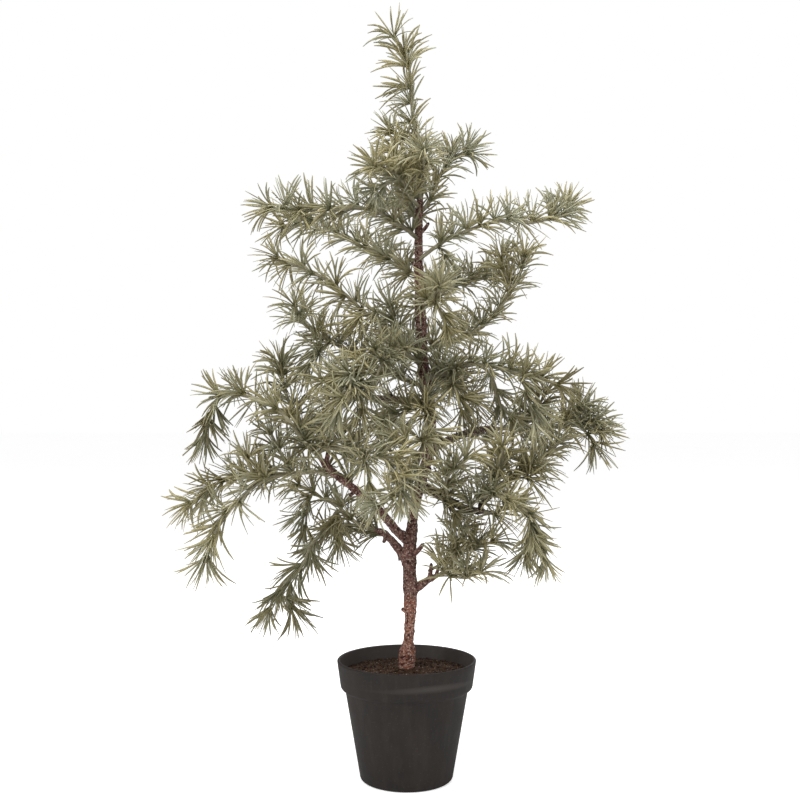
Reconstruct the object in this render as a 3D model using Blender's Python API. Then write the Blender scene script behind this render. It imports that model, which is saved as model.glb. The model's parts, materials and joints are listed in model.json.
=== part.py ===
"""An artificial tabletop larch in a plain pot.

A weighted pot holds a steel rod, the rod carries a bark-covered trunk, and boughs of bark-covered wire and
moulded needle sprays hang on the trunk. Each bough bends up and down where its root meets the trunk.

Metres, +Z up, +X to the right and +Y to the back. The origin is the middle of the pot's flat underside.
"""

import math
from collections import namedtuple

import bmesh
import bpy
import numpy as np
from mathutils import Matrix, Vector

for old in list(bpy.data.objects):
    bpy.data.objects.remove(old, do_unlink=True)

MM = 0.001

# Overall sizes
TRUNK_HEIGHT = 451 * MM  # from the pot's rim to the trunk's top end
CROWN_WIDTH = 456 * MM  # across the boughs, from needle tip to needle tip
CROWN_DEPTH = 340 * MM  # the same, from front to back

# Pot
POT_HEIGHT = 117.3 * MM
RIM_RADIUS = 68.0 * MM
COLLAR_HEIGHT = 25.6 * MM
COLLAR_FOOT_RADIUS = 64.7 * MM
SHOULDER_RADIUS = 59.8 * MM  # the body just under the collar
SHOULDER_HEIGHT = 5.7 * MM
FOOT_RADIUS = 45.8 * MM
FOOT_ROUNDING = 4.5 * MM
RIM_ROUNDING = 1.3 * MM
POT_WALL = 2.8 * MM
POT_STEPS = 40

# Filling
SOIL_DROP_AT_TRUNK = 8.0 * MM  # the soil's top below the rim
SOIL_DROP_AT_WALL = 13.5 * MM
SOIL_BED = 25.0 * MM  # the soil's underside below the rim
ROD_SOCKET_FLOOR = 20.0 * MM  # material left in the ballast under the rod

# Trunk and its rod
ROD_RADIUS = 1.5 * MM
TRUNK_SIDES = 10
TRUNK_STEP = 16.0 * MM

# Boughs
WIRE_RADIUS = 1.0 * MM
WIRE_END = 9.0 * MM  # wire that reaches into the spray at the bough's end
SOCKET_WALL = 0.9 * MM
BARK_SIDES = 8
BARK_STEP = 14.0 * MM
STEM_SIDES = 5

# Needles
NEEDLE_LENGTH = 28.0 * MM
SHORTEST_NEEDLE = 5.0 * MM
TUFT_SPACING = 25.0 * MM
TUFT_LENGTH = 4.0 * MM
OUTWARD_LEAN = math.radians(72)  # between a needle and its stem
FORWARD_LEAN = math.radians(38)
NEEDLE_SHARES = (1.0, 0.8, 0.6, 0.4)  # the lengths tried, where a whole needle doesn't clear its neighbours
NEEDLE_TURNS = (0.0, 0.35, -0.35)  # and how far it leans aside at each
NEEDLE_CLEARANCE = 2.8 * MM
NEEDLE_THICKNESS = 0.8 * MM

SWING_STEPS = 9  # how many angles of each bough's swing the needles keep clear at

# Fits
GAP = 0.3 * MM  # between pieces that touch
SIDE_GAP = 0.7 * MM  # between a stem and a twig on its side, which also clears the stem's facets
BORE_CLEARANCE = 0.5 * MM  # round a wire or a rod
MOUTH_CHAMFER = 0.4 * MM  # how far a bore's mouth is dished in
FILLING_CLEARANCE = 0.5 * MM  # between the pot's wall and the soil or the ballast
WIRE_TIP_ROOM = 0.6 * MM  # past a wire's end in its socket
WIRE_START = 0.2 * MM  # how far inside its bark a wire starts

# How the twigs start and end.
ROOT_FLARE = 0.4 * MM  # what a bough's rounded root adds to its radius
ROOT_REACH = 6 * MM  # it clears the trunk's widest place this far up and down
STRAIGHT_PAST_WIRE = 3 * MM  # a socketed spray bends only this far past its wire
SQUARE_START = 4 * MM  # how far a side twig runs square to its stock
BARK_ROOT_SHARE = 0.75  # a side twig's radius where it meets its stock, as a share of what it grows to
STEM_ROOT_SHARE = 0.6
STEM_ROOT_LENGTH = 2 * MM
BARE_PAST_WIRE = 4 * MM  # stem before the first tuft, after a socket and elsewhere
BARE_ROOT = 9 * MM

# How finely the curves are drawn.
SPLINE_STEPS = 12
LOOK_AHEAD = 1.5 * MM  # a curve's direction is read over this much each way
ROOM_STEP = 7 * MM
FIRST_ACROSS = Vector((0.31, 0.95, 0.05))

# The routes below are drawn for a trunk and a crown of these sizes, on a pot with its rim this high.
ROUTE_TRUNK_HEIGHT = 451 * MM
ROUTE_CROWN_WIDTH = 456 * MM
ROUTE_CROWN_DEPTH = 340 * MM
ROUTE_RIM = 117

# The trunk's middle and its radius, in millimetres: across, to the back, above the foot, radius. The first
# place stands on the soil's bed, wherever that is.
TRUNK_ROUTE = (
    (0, 0, 92, 7.0),
    (0, 0, 108, 8.0),
    (1, 0, 124, 8.2),
    (2, 0, 134, 5.0),
    (3, 0, 149, 5.0),
    (4, 0, 172, 6.4),
    (3, 0, 195, 6.4),
    (3, 0, 222, 6.8),
    (5, 0, 240, 5.4),
    (7, -1, 262, 4.8),
    (13, -1, 288, 5.0),
    (21, -2, 317, 5.6),
    (23, -2, 347, 5.8),
    (22, -1, 371, 5.8),
    (18, 0, 391, 5.8),
    (15, 1, 421, 5.6),
    (14, 1, 450, 5.6),
    (13, 1, 470, 5.0),
    (12, 1, 509, 4.2),
    (12, 0, 538, 3.8),
    (13, 0, 568, 3.2),
)
TRUNK_JOINTS = (0.40, 0.72)  # where one length of bark meets the next, along the trunk

# What grows on the trunk. A bough starts on the trunk, an "end" twig carries on where its stock ends, and a
# "side" twig leaves its stock's side. Each route lists places in millimetres: across, to the back, above
# the foot. Its first place is where the twig leaves its stock. root and tip are radii in millimetres.
Twig = namedtuple("Twig", "name kind stock where root tip route")
Bough = namedtuple("Bough", "name swing twigs")

BOUGHS = (
    Bough("low_left", (-12, 14), (
        Twig("low_left_bark", "bark", "trunk", "trunk", 4.4, 3.2,
             ((3, 0, 212), (-8, 7, 224), (-16, 13, 233), (-24, 18, 239), (-32, 21, 241))),
        Twig("low_left_tip_spray", "spray", "low_left_bark", "end", 2.2, 1.4,
             ((-32, 21, 241), (-54, 21, 251), (-68, 18, 260), (-78, 13, 246), (-93, 5, 229),
              (-102, -5, 209), (-113, -13, 198), (-125, -18, 186), (-131, -21, 173))),
        Twig("low_left_top_spray", "spray", "low_left_tip_spray", "side", 1.6, 1.2,
             ((-66, 18, 260), (-78, 26, 269), (-93, 34, 276), (-108, 39, 284))),
        Twig("low_left_back_spray", "spray", "low_left_bark", "side", 1.8, 1.2,
             ((-27, 20, 239), (-47, 39, 237), (-67, 50, 239), (-81, 58, 232), (-93, 60, 222))),
    )),
    Bough("left", (-10, 14), (
        Twig("left_bark", "bark", "trunk", "trunk", 4.4, 3.4,
             ((4, 0, 233), (-8, -10, 242), (-20, -24, 258), (-36, -37, 276), (-53, -47, 290),
              (-68, -55, 303), (-80, -60, 316))),
        Twig("left_arch_spray", "spray", "left_bark", "end", 2.2, 1.4,
             ((-80, -60, 316), (-90, -76, 328), (-98, -92, 341), (-105, -99, 351), (-117, -94, 363),
              (-135, -81, 371), (-155, -68, 376), (-173, -55, 374), (-184, -47, 362), (-190, -42, 341))),
        Twig("left_long_spray", "spray", "left_bark", "side", 2.0, 1.4,
             ((-69, -55, 304), (-83, -52, 304), (-102, -52, 302), (-127, -58, 299), (-144, -65, 289),
              (-160, -73, 273), (-172, -78, 256), (-177, -81, 245), (-181, -84, 231))),
        Twig("left_outer_spray", "spray", "left_long_spray", "side", 1.6, 1.2,
             ((-134, -60, 296), (-149, -47, 299), (-166, -39, 298), (-181, -34, 291), (-194, -29, 279),
              (-206, -26, 273))),
        Twig("left_upright_spray", "spray", "left_arch_spray", "side", 1.8, 1.2,
             ((-93, -82, 333), (-97, -65, 343), (-105, -55, 358), (-113, -50, 376), (-117, -47, 393))),
        Twig("left_front_spray", "spray", "left_arch_spray", "side", 1.8, 1.2,
             ((-84, -65, 321), (-73, -81, 328), (-55, -97, 326), (-39, -107, 322), (-25, -114, 320),
              (-13, -118, 320))),
    )),
    Bough("back_left", (-12, 14), (
        Twig("back_left_bark", "bark", "trunk", "trunk", 4.4, 3.2,
             ((21, 0, 367), (4, 29, 369), (-12, 50, 372), (-31, 71, 373), (-49, 89, 378))),
        Twig("back_left_tip_spray", "spray", "back_left_bark", "end", 2.0, 1.2,
             ((-49, 89, 378), (-62, 105, 380), (-76, 120, 372), (-88, 131, 361), (-104, 139, 349))),
        Twig("back_left_low_spray", "spray", "back_left_bark", "side", 1.8, 1.2,
             ((-12, 50, 372), (-15, 68, 360), (-20, 89, 346), (-25, 105, 328))),
    )),
    Bough("low_right", (-14, 16), (
        Twig("low_right_bark", "bark", "trunk", "trunk", 3.8, 3.0,
             ((3, 0, 185), (14, -5, 190), (21, -10, 196), (28, -14, 200))),
        Twig("low_right_upper_spray", "spray", "low_right_bark", "side", 1.8, 1.2,
             ((25, -13, 198), (32, -16, 211), (42, -18, 221), (50, -21, 233), (54, -24, 245))),
        Twig("low_right_tip_spray", "spray", "low_right_bark", "end", 2.0, 1.2,
             ((28, -14, 200), (40, -24, 204), (54, -37, 202), (69, -47, 208))),
    )),
    Bough("right", (-12, 12), (
        Twig("right_bark", "bark", "trunk", "trunk", 4.4, 3.4,
             ((13, 0, 288), (27, -16, 281), (41, -29, 275), (56, -39, 268), (73, -47, 266))),
        Twig("right_tip_spray", "spray", "right_bark", "end", 2.2, 1.4,
             ((73, -47, 266), (87, -55, 269), (101, -63, 272), (112, -68, 267), (120, -71, 255),
              (125, -72, 243), (127, -73, 228))),
        Twig("right_fork_bark", "bark", "right_bark", "side", 3.0, 2.6,
             ((69, -46, 267), (79, -39, 280), (91, -37, 291), (103, -34, 299), (115, -31, 306))),
        Twig("right_fork_spray", "spray", "right_fork_bark", "end", 1.9, 1.2,
             ((115, -31, 306), (126, -26, 311), (137, -18, 319), (147, -10, 328))),
        Twig("right_front_spray", "spray", "right_bark", "side", 1.8, 1.2,
             ((44, -31, 274), (38, -50, 283), (36, -65, 296), (43, -76, 307), (53, -81, 317))),
    )),
    Bough("back_right", (-12, 14), (
        Twig("back_right_bark", "bark", "trunk", "trunk", 4.6, 3.4,
             ((21, 0, 322), (36, 24, 328), (53, 42, 334), (74, 60, 340), (95, 71, 341))),
        Twig("back_right_tip_spray", "spray", "back_right_bark", "end", 2.2, 1.4,
             ((95, 71, 341), (115, 68, 339), (133, 60, 341), (150, 50, 343), (162, 39, 345), (175, 29, 347),
              (188, 21, 347))),
        Twig("back_right_low_spray", "spray", "back_right_bark", "side", 1.8, 1.2,
             ((75, 60, 340), (83, 81, 327), (90, 94, 310), (93, 102, 292))),
        Twig("back_right_top_spray", "spray", "back_right_tip_spray", "side", 1.6, 1.2,
             ((122, 65, 340), (130, 58, 350), (135, 50, 362), (140, 42, 375))),
    )),
    Bough("middle_right", (-12, 14), (
        Twig("middle_right_spray", "spray", "trunk", "trunk", 2.6, 1.4,
             ((19, -1, 392), (37, -21, 397), (52, -31, 403), (68, -39, 405), (84, -47, 402),
              (101, -55, 397), (123, -60, 391), (138, -63, 386))),
        Twig("middle_right_low_spray", "spray", "middle_right_spray", "side", 1.6, 1.2,
             ((107, -55, 395), (109, -71, 383), (112, -81, 368), (115, -86, 353))),
    )),
    Bough("upper_right", (-12, 14), (
        Twig("upper_right_spray", "spray", "trunk", "trunk", 2.4, 1.4,
             ((15, 1, 419), (31, 18, 425), (49, 29, 432), (66, 37, 439), (79, 42, 447), (90, 44, 459),
              (100, 44, 472), (109, 44, 485), (116, 44, 499), (120, 42, 516))),
    )),
    Bough("back_upper_right", (-12, 14), (
        Twig("back_upper_right_spray", "spray", "trunk", "trunk", 2.2, 1.2,
             ((13, 1, 476), (30, 34, 482), (45, 55, 486), (58, 73, 493), (74, 89, 499), (90, 99, 503))),
    )),
    Bough("back_middle", (-12, 14), (
        Twig("back_middle_spray", "spray", "trunk", "trunk", 2.2, 1.2,
             ((19, 0, 385), (31, 42, 387), (46, 68, 385), (60, 92, 381), (74, 110, 369))),
    )),
    Bough("top_right", (-14, 16), (
        Twig("top_right_spray", "spray", "trunk", "trunk", 2.2, 1.3,
             ((12, 0, 510), (25, -18, 517), (35, -26, 523), (48, -31, 529), (57, -34, 532), (71, -37, 537),
              (88, -37, 541), (102, -37, 541), (117, -34, 540), (132, -31, 543), (148, -29, 547))),
    )),
    Bough("front", (-8, 12), (
        Twig("front_spray", "spray", "trunk", "trunk", 2.2, 1.3,
             ((22, -1, 373), (18, -34, 370), (18, -63, 356), (16, -84, 336), (12, -97, 321), (7, -107, 307),
              (1, -118, 294), (-10, -127, 287), (-24, -132, 281))),
    )),
    Bough("front_left", (-12, 14), (
        Twig("front_left_spray", "spray", "trunk", "trunk", 2.4, 1.4,
             ((16, 0, 405), (2, -26, 414), (-6, -39, 418), (-21, -55, 419), (-31, -65, 414),
              (-41, -76, 403), (-52, -86, 395), (-62, -97, 390), (-74, -105, 388))),
    )),
    Bough("middle_left", (-10, 14), (
        Twig("middle_left_spray", "spray", "trunk", "trunk", 2.4, 1.3,
             ((19, 0, 384), (-2, -5, 391), (-26, -10, 402), (-50, -18, 415), (-74, -29, 428),
              (-90, -42, 437), (-100, -55, 447), (-103, -73, 457))),
    )),
    Bough("upper_left", (-12, 14), (
        Twig("upper_left_spray", "spray", "trunk", "trunk", 2.4, 1.3,
             ((15, 1, 421), (-6, 18, 431), (-26, 29, 447), (-49, 37, 466), (-68, 42, 484), (-84, 44, 495),
              (-98, 47, 502), (-118, 50, 511), (-131, 52, 518))),
        Twig("upper_left_front_spray", "spray", "upper_left_spray", "side", 1.6, 1.2,
             ((-10, 21, 434), (-12, 3, 443), (-20, -16, 451), (-30, -31, 454), (-42, -44, 451))),
    )),
    Bough("back_top_left", (-12, 14), (
        Twig("back_top_left_spray", "spray", "trunk", "trunk", 2.2, 1.2,
             ((13, 1, 492), (-7, 29, 505), (-17, 42, 513), (-33, 58, 524), (-52, 73, 534), (-74, 89, 548),
              (-94, 99, 553))),
    )),
    Bough("top_left", (-14, 14), (
        Twig("top_left_spray", "spray", "trunk", "trunk", 2.2, 1.3,
             ((12, 0, 528), (-1, -16, 537), (-16, -26, 543), (-30, -34, 552), (-49, -39, 553),
              (-65, -43, 551), (-83, -48, 550), (-103, -51, 549), (-125, -54, 551))),
        Twig("top_left_low_spray", "spray", "top_left_spray", "side", 1.4, 1.1,
             ((-77, -47, 550), (-87, -31, 543), (-102, -21, 540), (-118, -13, 540))),
    )),
    Bough("crown_left", (-12, 12), (
        Twig("crown_left_spray", "spray", "trunk", "trunk", 1.9, 1.2,
             ((13, 0, 560), (3, -16, 569), (-4, -31, 580), (-14, -44, 586), (-29, -58, 587))),
    )),
    Bough("crown_right", (-12, 12), (
        Twig("crown_right_spray", "spray", "trunk", "trunk", 1.9, 1.2,
             ((13, 0, 552), (26, 16, 575), (33, 24, 595), (43, 31, 613), (58, 39, 623))),
    )),
    Bough("leader", (-15, 15), (
        Twig("leader_spray", "spray", "trunk", "top", 2.2, 1.3,
             ((13, 0, 568), (12, -1, 585), (11, -3, 602), (11, -4, 625), (9, -4, 634), (6, -5, 651),
              (5, -5, 670), (4, -5, 688), (0, -4, 703), (-5, -4, 714), (-12, -3, 726))),
    )),
)


def material(name, colour, roughness, metallic=0.0):
    """A plain Principled finish."""
    made = bpy.data.materials.new(name)
    made.use_nodes = True
    shader = made.node_tree.nodes["Principled BSDF"]
    shader.inputs["Base Color"].default_value = (*colour, 1.0)
    shader.inputs["Roughness"].default_value = roughness
    shader.inputs["Metallic"].default_value = metallic
    return made


POT_FINISH = material("pot_black", (0.022, 0.020, 0.019), 0.75)
SOIL_FINISH = material("soil_brown", (0.055, 0.033, 0.022), 0.95)
CEMENT = material("cement_grey", (0.36, 0.35, 0.33), 0.90)
STEEL = material("steel", (0.45, 0.45, 0.46), 0.35, 1.0)
BARK = material("bark_red_brown", (0.155, 0.072, 0.055), 0.90)


def needle_finish(name):
    """One spray's moulded green, a shade of its own between light and dark."""
    shade = 0.75 + 0.35 * math.modf(0.618 * len(name) + 0.37 * ord(name[0]))[0]
    return material(name + "_green", (0.205 * shade, 0.215 * shade, 0.135 * shade), 0.75)


def finish_piece(bm, name, finish, hinge=None, smooth_angle=40):
    """Makes the bmesh an object. A piece that moves hangs on the empty at its bough's hinge."""
    bmesh.ops.recalc_face_normals(bm, faces=bm.faces)
    if hinge is not None:
        bmesh.ops.translate(bm, verts=bm.verts, vec=-hinge.location)
    mesh = bpy.data.meshes.new(name)
    bm.to_mesh(mesh)
    bm.free()
    mesh.shade_smooth()
    mesh.set_sharp_from_angle(angle=math.radians(smooth_angle))
    mesh.materials.append(finish)
    piece = bpy.data.objects.new(name, mesh)
    bpy.context.scene.collection.objects.link(piece)
    piece.parent = hinge
    return piece


def turned(name, profile, finish):
    """A round piece turned about the Z axis from a closed profile of (radius, height)."""
    bm = bmesh.new()
    points = [bm.verts.new((radius, 0.0, height)) for radius, height in profile]
    if profile[0][0] > 0:
        points.append(points[0])
    edges = [bm.edges.new(pair) for pair in zip(points, points[1:])]
    bmesh.ops.spin(
        bm, geom=bm.verts[:] + edges, cent=(0, 0, 0), axis=(0, 0, 1), angle=math.tau,
        steps=POT_STEPS, use_merge=True, use_duplicate=False,
    )
    bmesh.ops.remove_doubles(bm, verts=bm.verts, dist=1e-6)
    return finish_piece(bm, name, finish)


# ---- Curves ----


def smooth_route(points):
    """Close samples along a smooth curve through the points (a Catmull-Rom spline)."""
    ends = [points[0] * 2 - points[1], *points, points[-1] * 2 - points[-2]]
    samples = []
    for before, start, end, after in zip(ends, ends[1:], ends[2:], ends[3:]):
        for step in range(SPLINE_STEPS):
            t = step / SPLINE_STEPS
            samples.append(
                0.5 * (2 * start + (end - before) * t + (2 * before - 5 * start + 4 * end - after) * t * t
                       + (3 * start - before - 3 * end + after) * t ** 3)
            )
    return samples + [points[-1]]


class Path:
    """A smooth centre line with places and directions by arc length, and axes that turn as little as they can."""

    def __init__(self, points):
        self.samples = smooth_route(points)
        steps = [(b - a).length for a, b in zip(self.samples, self.samples[1:])]
        self.lengths = np.concatenate(([0.0], np.cumsum(steps)))
        self.length = self.lengths[-1]

    def at(self, distance):
        index = int(np.searchsorted(self.lengths, distance, side="right")) - 1
        index = min(max(index, 0), len(self.samples) - 2)
        share = (distance - self.lengths[index]) / (self.lengths[index + 1] - self.lengths[index])
        return self.samples[index].lerp(self.samples[index + 1], share)

    def direction(self, distance):
        near, far = max(distance - LOOK_AHEAD, 0.0), min(distance + LOOK_AHEAD, self.length)
        return (self.at(far) - self.at(near)).normalized()

    def frames(self, distances):
        """A 4x4 matrix at each distance: its Z runs along the path, and X and Y turn only as the path does."""
        made = []
        across = None
        for distance in distances:
            along = self.direction(distance)
            if across is None:
                across = along.cross(FIRST_ACROSS).normalized()
            across = (across - along * across.dot(along)).normalized()
            matrix = Matrix((across, along.cross(across), along)).transposed().to_4x4()
            matrix.translation = self.at(min(max(distance, 0.0), self.length))
            overrun = distance - min(max(distance, 0.0), self.length)
            matrix.translation = matrix.translation + along * overrun
            made.append(matrix)
        return made


def skin(bm, rings, closed=False):
    """Rings of points joined one to the next. A ring is (matrix, radius, sides).

    An open skin gets a cap on its first and last ring; a closed one joins the last ring to the first, as a
    tube's outer and inner walls join. Returns the side faces of each stretch, and the last cap.
    """
    loops, caps = [], []
    for number, (matrix, radius, sides) in enumerate(rings):
        capped = not closed and number in (0, len(rings) - 1)
        before = set(bm.faces)
        made = bmesh.ops.create_circle(bm, cap_ends=capped, segments=sides, radius=radius, matrix=matrix)
        loops.append(list({edge for vert in made["verts"] for edge in vert.link_edges}))
        caps += [face for face in bm.faces if face not in before]
    pairs = list(zip(loops, loops[1:]))
    if closed:
        pairs.append((loops[-1], loops[0]))
    stretches = [bmesh.ops.bridge_loops(bm, edges=one + other)["faces"] for one, other in pairs]
    return stretches, caps[-1] if caps else None


def shifted(matrix, along):
    """The matrix moved along its own Z."""
    return matrix @ Matrix.Translation((0, 0, along))


# ---- Where everything is ----

SPREAD = CROWN_WIDTH / ROUTE_CROWN_WIDTH
DEPTH = CROWN_DEPTH / ROUTE_CROWN_DEPTH
RISE = TRUNK_HEIGHT / ROUTE_TRUNK_HEIGHT


def place(across, back, up):
    """A route's place in metres, on this tree's pot, trunk and crown. What is below the rim stays as deep."""
    above = (up - ROUTE_RIM) * MM
    return Vector((across * MM * SPREAD, back * MM * DEPTH, POT_HEIGHT + above * (RISE if above > 0 else 1)))


TRUNK_PLACES = [Vector((0, 0, POT_HEIGHT - SOIL_BED)), *[place(*point[:3]) for point in TRUNK_ROUTE[1:]]]
TRUNK = Path(TRUNK_PLACES)
TRUNK_ROUTE_LENGTHS = [min(TRUNK.lengths, key=lambda d, p=p: (TRUNK.at(d) - p).length) for p in TRUNK_PLACES]
TRUNK_ROUTE_RADII = [point[3] * MM for point in TRUNK_ROUTE]


def trunk_radius(distance):
    return float(np.interp(distance, TRUNK_ROUTE_LENGTHS, TRUNK_ROUTE_RADII))


def trunk_distance(height):
    heights = [sample.z for sample in TRUNK.samples]
    return float(np.interp(height, heights, TRUNK.lengths))


class Stem:
    """A twig where it stands: its bough, its centre line, its radii and how far along it its rings are."""

    def __init__(self, twig, bough, points):
        self.twig, self.name, self.bough = twig, twig.name, bough
        self.path = Path(points)
        self.tufts = []
        if twig.kind == "bark":
            count = max(2, round(self.path.length / BARK_STEP))
            self.rings = [self.path.length * number / count for number in range(count + 1)]
        else:
            self.tufts = self.tuft_starts(WIRE_END + BARE_PAST_WIRE if twig.where == "end" else BARE_ROOT)
            self.rings = [0.0, self.tufts[0], self.tufts[0] + TUFT_LENGTH]
            for before, start in zip(self.tufts, self.tufts[1:]):
                self.rings += [(before + TUFT_LENGTH + start) / 2, start, start + TUFT_LENGTH]

    def tuft_starts(self, first):
        """Where each tuft starts along the stem, evenly spaced up to its end."""
        last = self.path.length - TUFT_LENGTH
        count = max(1, round((last - first) / TUFT_SPACING))
        return [first + (last - first) * number / count for number in range(count + 1)]

    def radius(self, distance):
        share = min(max(distance / self.path.length, 0.0), 1.0)
        return (self.twig.root + (self.twig.tip - self.twig.root) * share) * MM

    def nearest(self, point):
        """How far along the centre line the place nearest to the point is."""
        return min(self.path.lengths, key=lambda d: (self.path.at(d) - point).length)

    def middle(self, distance):
        """The middle of the solid here, which runs straight from ring to ring."""
        index = min(max(int(np.searchsorted(self.rings, distance)), 1), len(self.rings) - 1)
        before, after = self.rings[index - 1], self.rings[index]
        return self.path.at(before).lerp(self.path.at(after), (distance - before) / (after - before))


def root_ball(twig):
    return twig.root * MM + ROOT_FLARE


def points_on_trunk(twig):
    """The route of a bough's first twig, from the middle of its rounded root beside the trunk."""
    route = [place(*point) for point in twig.route]
    if twig.where == "top":
        top, along = TRUNK.at(TRUNK.length), TRUNK.direction(TRUNK.length)
        return [top + along * (GAP + root_ball(twig)), *route[1:]]
    distance = trunk_distance(route[0].z)
    axis = TRUNK.at(distance)
    heading = route[1] - axis
    heading.z = 0.0
    widest = max(trunk_radius(distance + step) for step in np.linspace(-ROOT_REACH, ROOT_REACH, 5))
    root = axis + heading.normalized() * (widest + GAP + root_ball(twig))
    return [root, *route[1:]]


def points_on_end(twig, stock):
    """A twig that carries on from its stock's end, straight at first so that the wire enters it."""
    end, along = stock.path.at(stock.path.length), stock.path.direction(stock.path.length)
    start = end + along * GAP
    straight = start + along * (WIRE_END + STRAIGHT_PAST_WIRE)
    rest = [place(*point) for point in twig.route[1:]]
    ahead = [p for p in rest if (p - straight).dot(along) > STRAIGHT_PAST_WIRE or p is rest[-1]]
    return [start, start.lerp(straight, 0.5), straight, *ahead]


def points_on_side(twig, stock):
    """A twig that leaves its stock's side squarely, then bends to its route."""
    first, second = place(*twig.route[0]), place(*twig.route[1])
    distance = stock.nearest(first)
    middle, along = stock.middle(distance), stock.path.direction(distance)
    away = second - middle
    away = (away - along * away.dot(along)).normalized()
    face = stock.radius(distance) + SIDE_GAP
    square = middle + away * (face + SQUARE_START)
    return [middle + away * face, square, *[place(*point) for point in twig.route[1:]]]


STEMS = {}
HINGES = {}
for bough in BOUGHS:
    for twig in bough.twigs:
        if twig.stock == "trunk":
            points = points_on_trunk(twig)
            HINGES[bough.name] = points[0]
        elif twig.where == "end":
            points = points_on_end(twig, STEMS[twig.stock])
        else:
            points = points_on_side(twig, STEMS[twig.stock])
        STEMS[twig.name] = Stem(twig, bough, points)


def hinge_axis(bough):
    """Level and square to the bough, so that a positive turn lifts it. The leader leans to the left."""
    if bough.twigs[0].where == "top":
        return Vector((0.0, -1.0, 0.0))
    path = STEMS[bough.twigs[0].name].path
    heading = path.at(path.length) - path.at(0.0)
    heading.z = 0.0
    return heading.normalized().cross(Vector((0, 0, 1)))


# ---- Room for the needles ----


def turned_by(bough, degrees):
    """The 4x4 array that bends a bough by this angle."""
    hinge = Matrix.Translation(HINGES[bough.name])
    turn = Matrix.Rotation(math.radians(degrees), 4, hinge_axis(bough))
    return np.array(hinge @ turn @ hinge.inverted())


def relative_poses(bough, other):
    """How another bough stands, seen from this one, as either of them or both of them bend."""
    still = np.eye(4)
    here = [turned_by(bough, angle) for angle in np.linspace(*bough.swing, SWING_STEPS)]
    if other is None:
        return [still] + [np.linalg.inv(pose) for pose in here]
    there = [turned_by(other, angle) for angle in np.linspace(*other.swing, SWING_STEPS)]
    both = [np.linalg.inv(here[0]) @ there[0], np.linalg.inv(here[-1]) @ there[-1]]
    return [still] + [np.linalg.inv(pose) for pose in here] + there + both


def gaps_between(start, end, starts, ends):
    """The distance from one straight line to each of many."""
    u, v, w = end - start, ends - starts, start - starts
    a, b, c = u @ u, v @ u, (v * v).sum(1)
    d, e = w @ u, (v * w).sum(1)
    room = np.maximum(a * c - b * b, 1e-18)
    s = np.clip((b * e - c * d) / room, 0, 1)
    t = np.clip((b * s + e) / np.maximum(c, 1e-18), 0, 1)
    s = np.clip((b * t - d) / a, 0, 1)
    between = w + s[:, None] * u - t[:, None] * v
    return np.sqrt((between * between).sum(1))


class Room:
    """Straight lines with a thickness, by bough: what stands already, and how near a new needle comes to it."""

    def __init__(self):
        self.lines = {}
        self.poses = {}

    def add(self, bough, owner, start, end, thickness):
        self.lines.setdefault(bough, []).append((owner, *start, *end, thickness))

    def clear(self, bough, owner, start, end):
        """Does a needle from start to end keep its clearance to every line that isn't its owner's?"""
        start, end = np.array(start), np.array(end)
        for other, lines in self.lines.items():
            data = np.array([line[1:] for line in lines if line[0] != owner])
            if not len(data):
                continue
            poses = [np.eye(4)]
            if other is not bough:
                if (bough, other) not in self.poses:
                    self.poses[bough, other] = relative_poses(bough, other)
                poses = self.poses[bough, other]
            for pose in poses:
                starts = data[:, 0:3] @ pose[:3, :3].T + pose[:3, 3]
                ends = data[:, 3:6] @ pose[:3, :3].T + pose[:3, 3]
                if (gaps_between(start, end, starts, ends) < data[:, 6] + NEEDLE_CLEARANCE).any():
                    return False
        return True


def fill_room(room):
    """Puts the trunk, the pot's rim and every stem into the room, as short straight lines."""
    for start in np.arange(0.0, TRUNK.length, TRUNK_STEP):
        end = min(start + TRUNK_STEP, TRUNK.length)
        room.add(None, "trunk", TRUNK.at(start), TRUNK.at(end), trunk_radius(start) + 0.5 * MM)
    for stem in STEMS.values():
        for start in np.arange(0.0, stem.path.length, ROOM_STEP):
            end = min(start + ROOM_STEP, stem.path.length)
            room.add(stem.bough, stem.name, stem.path.at(start), stem.path.at(end), stem.radius(start))


# ---- The pieces that grow ----


def ball_rings(stem, sides):
    """The rounded root of a bough, from its far end to its middle."""
    matrix, radius = stem.path.frames([0.0])[0], root_ball(stem.twig)
    angles = (60, 30)
    made = [(shifted(matrix, -radius * math.sin(math.radians(a))), radius * math.cos(math.radians(a)), sides)
            for a in angles]
    return made + [(matrix, radius, sides)]


def bark_bough(stem, hinge):
    """A length of bark with its wire's bore through it."""
    frames = stem.path.frames(stem.rings)
    bore = WIRE_RADIUS + BORE_CLEARANCE
    outer = [(frame, stem.radius(distance), BARK_SIDES) for frame, distance in zip(frames, stem.rings)]
    if stem.twig.stock == "trunk":
        outer = ball_rings(stem, BARK_SIDES) + outer[1:]
    else:
        outer[0] = (outer[0][0], BARK_ROOT_SHARE * outer[0][1], BARK_SIDES)
    mouths = [shifted(frames[-1], -MOUTH_CHAMFER), shifted(outer[0][0], MOUTH_CHAMFER)]
    inner = [(frame, bore, STEM_SIDES) for frame in (mouths[0], *frames[-2::-1], mouths[1])]
    bm = bmesh.new()
    skin(bm, outer + inner, closed=True)
    finish_piece(bm, stem.name, BARK, hinge)
    wire = bmesh.new()
    ends = [shifted(frames[0], WIRE_START), shifted(frames[-1], WIRE_END)]
    skin(wire, [(frame, WIRE_RADIUS, STEM_SIDES) for frame in (ends[0], *frames[1:], ends[1])])
    finish_piece(wire, stem.name.replace("bark", "wire"), STEEL, hinge)


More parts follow.
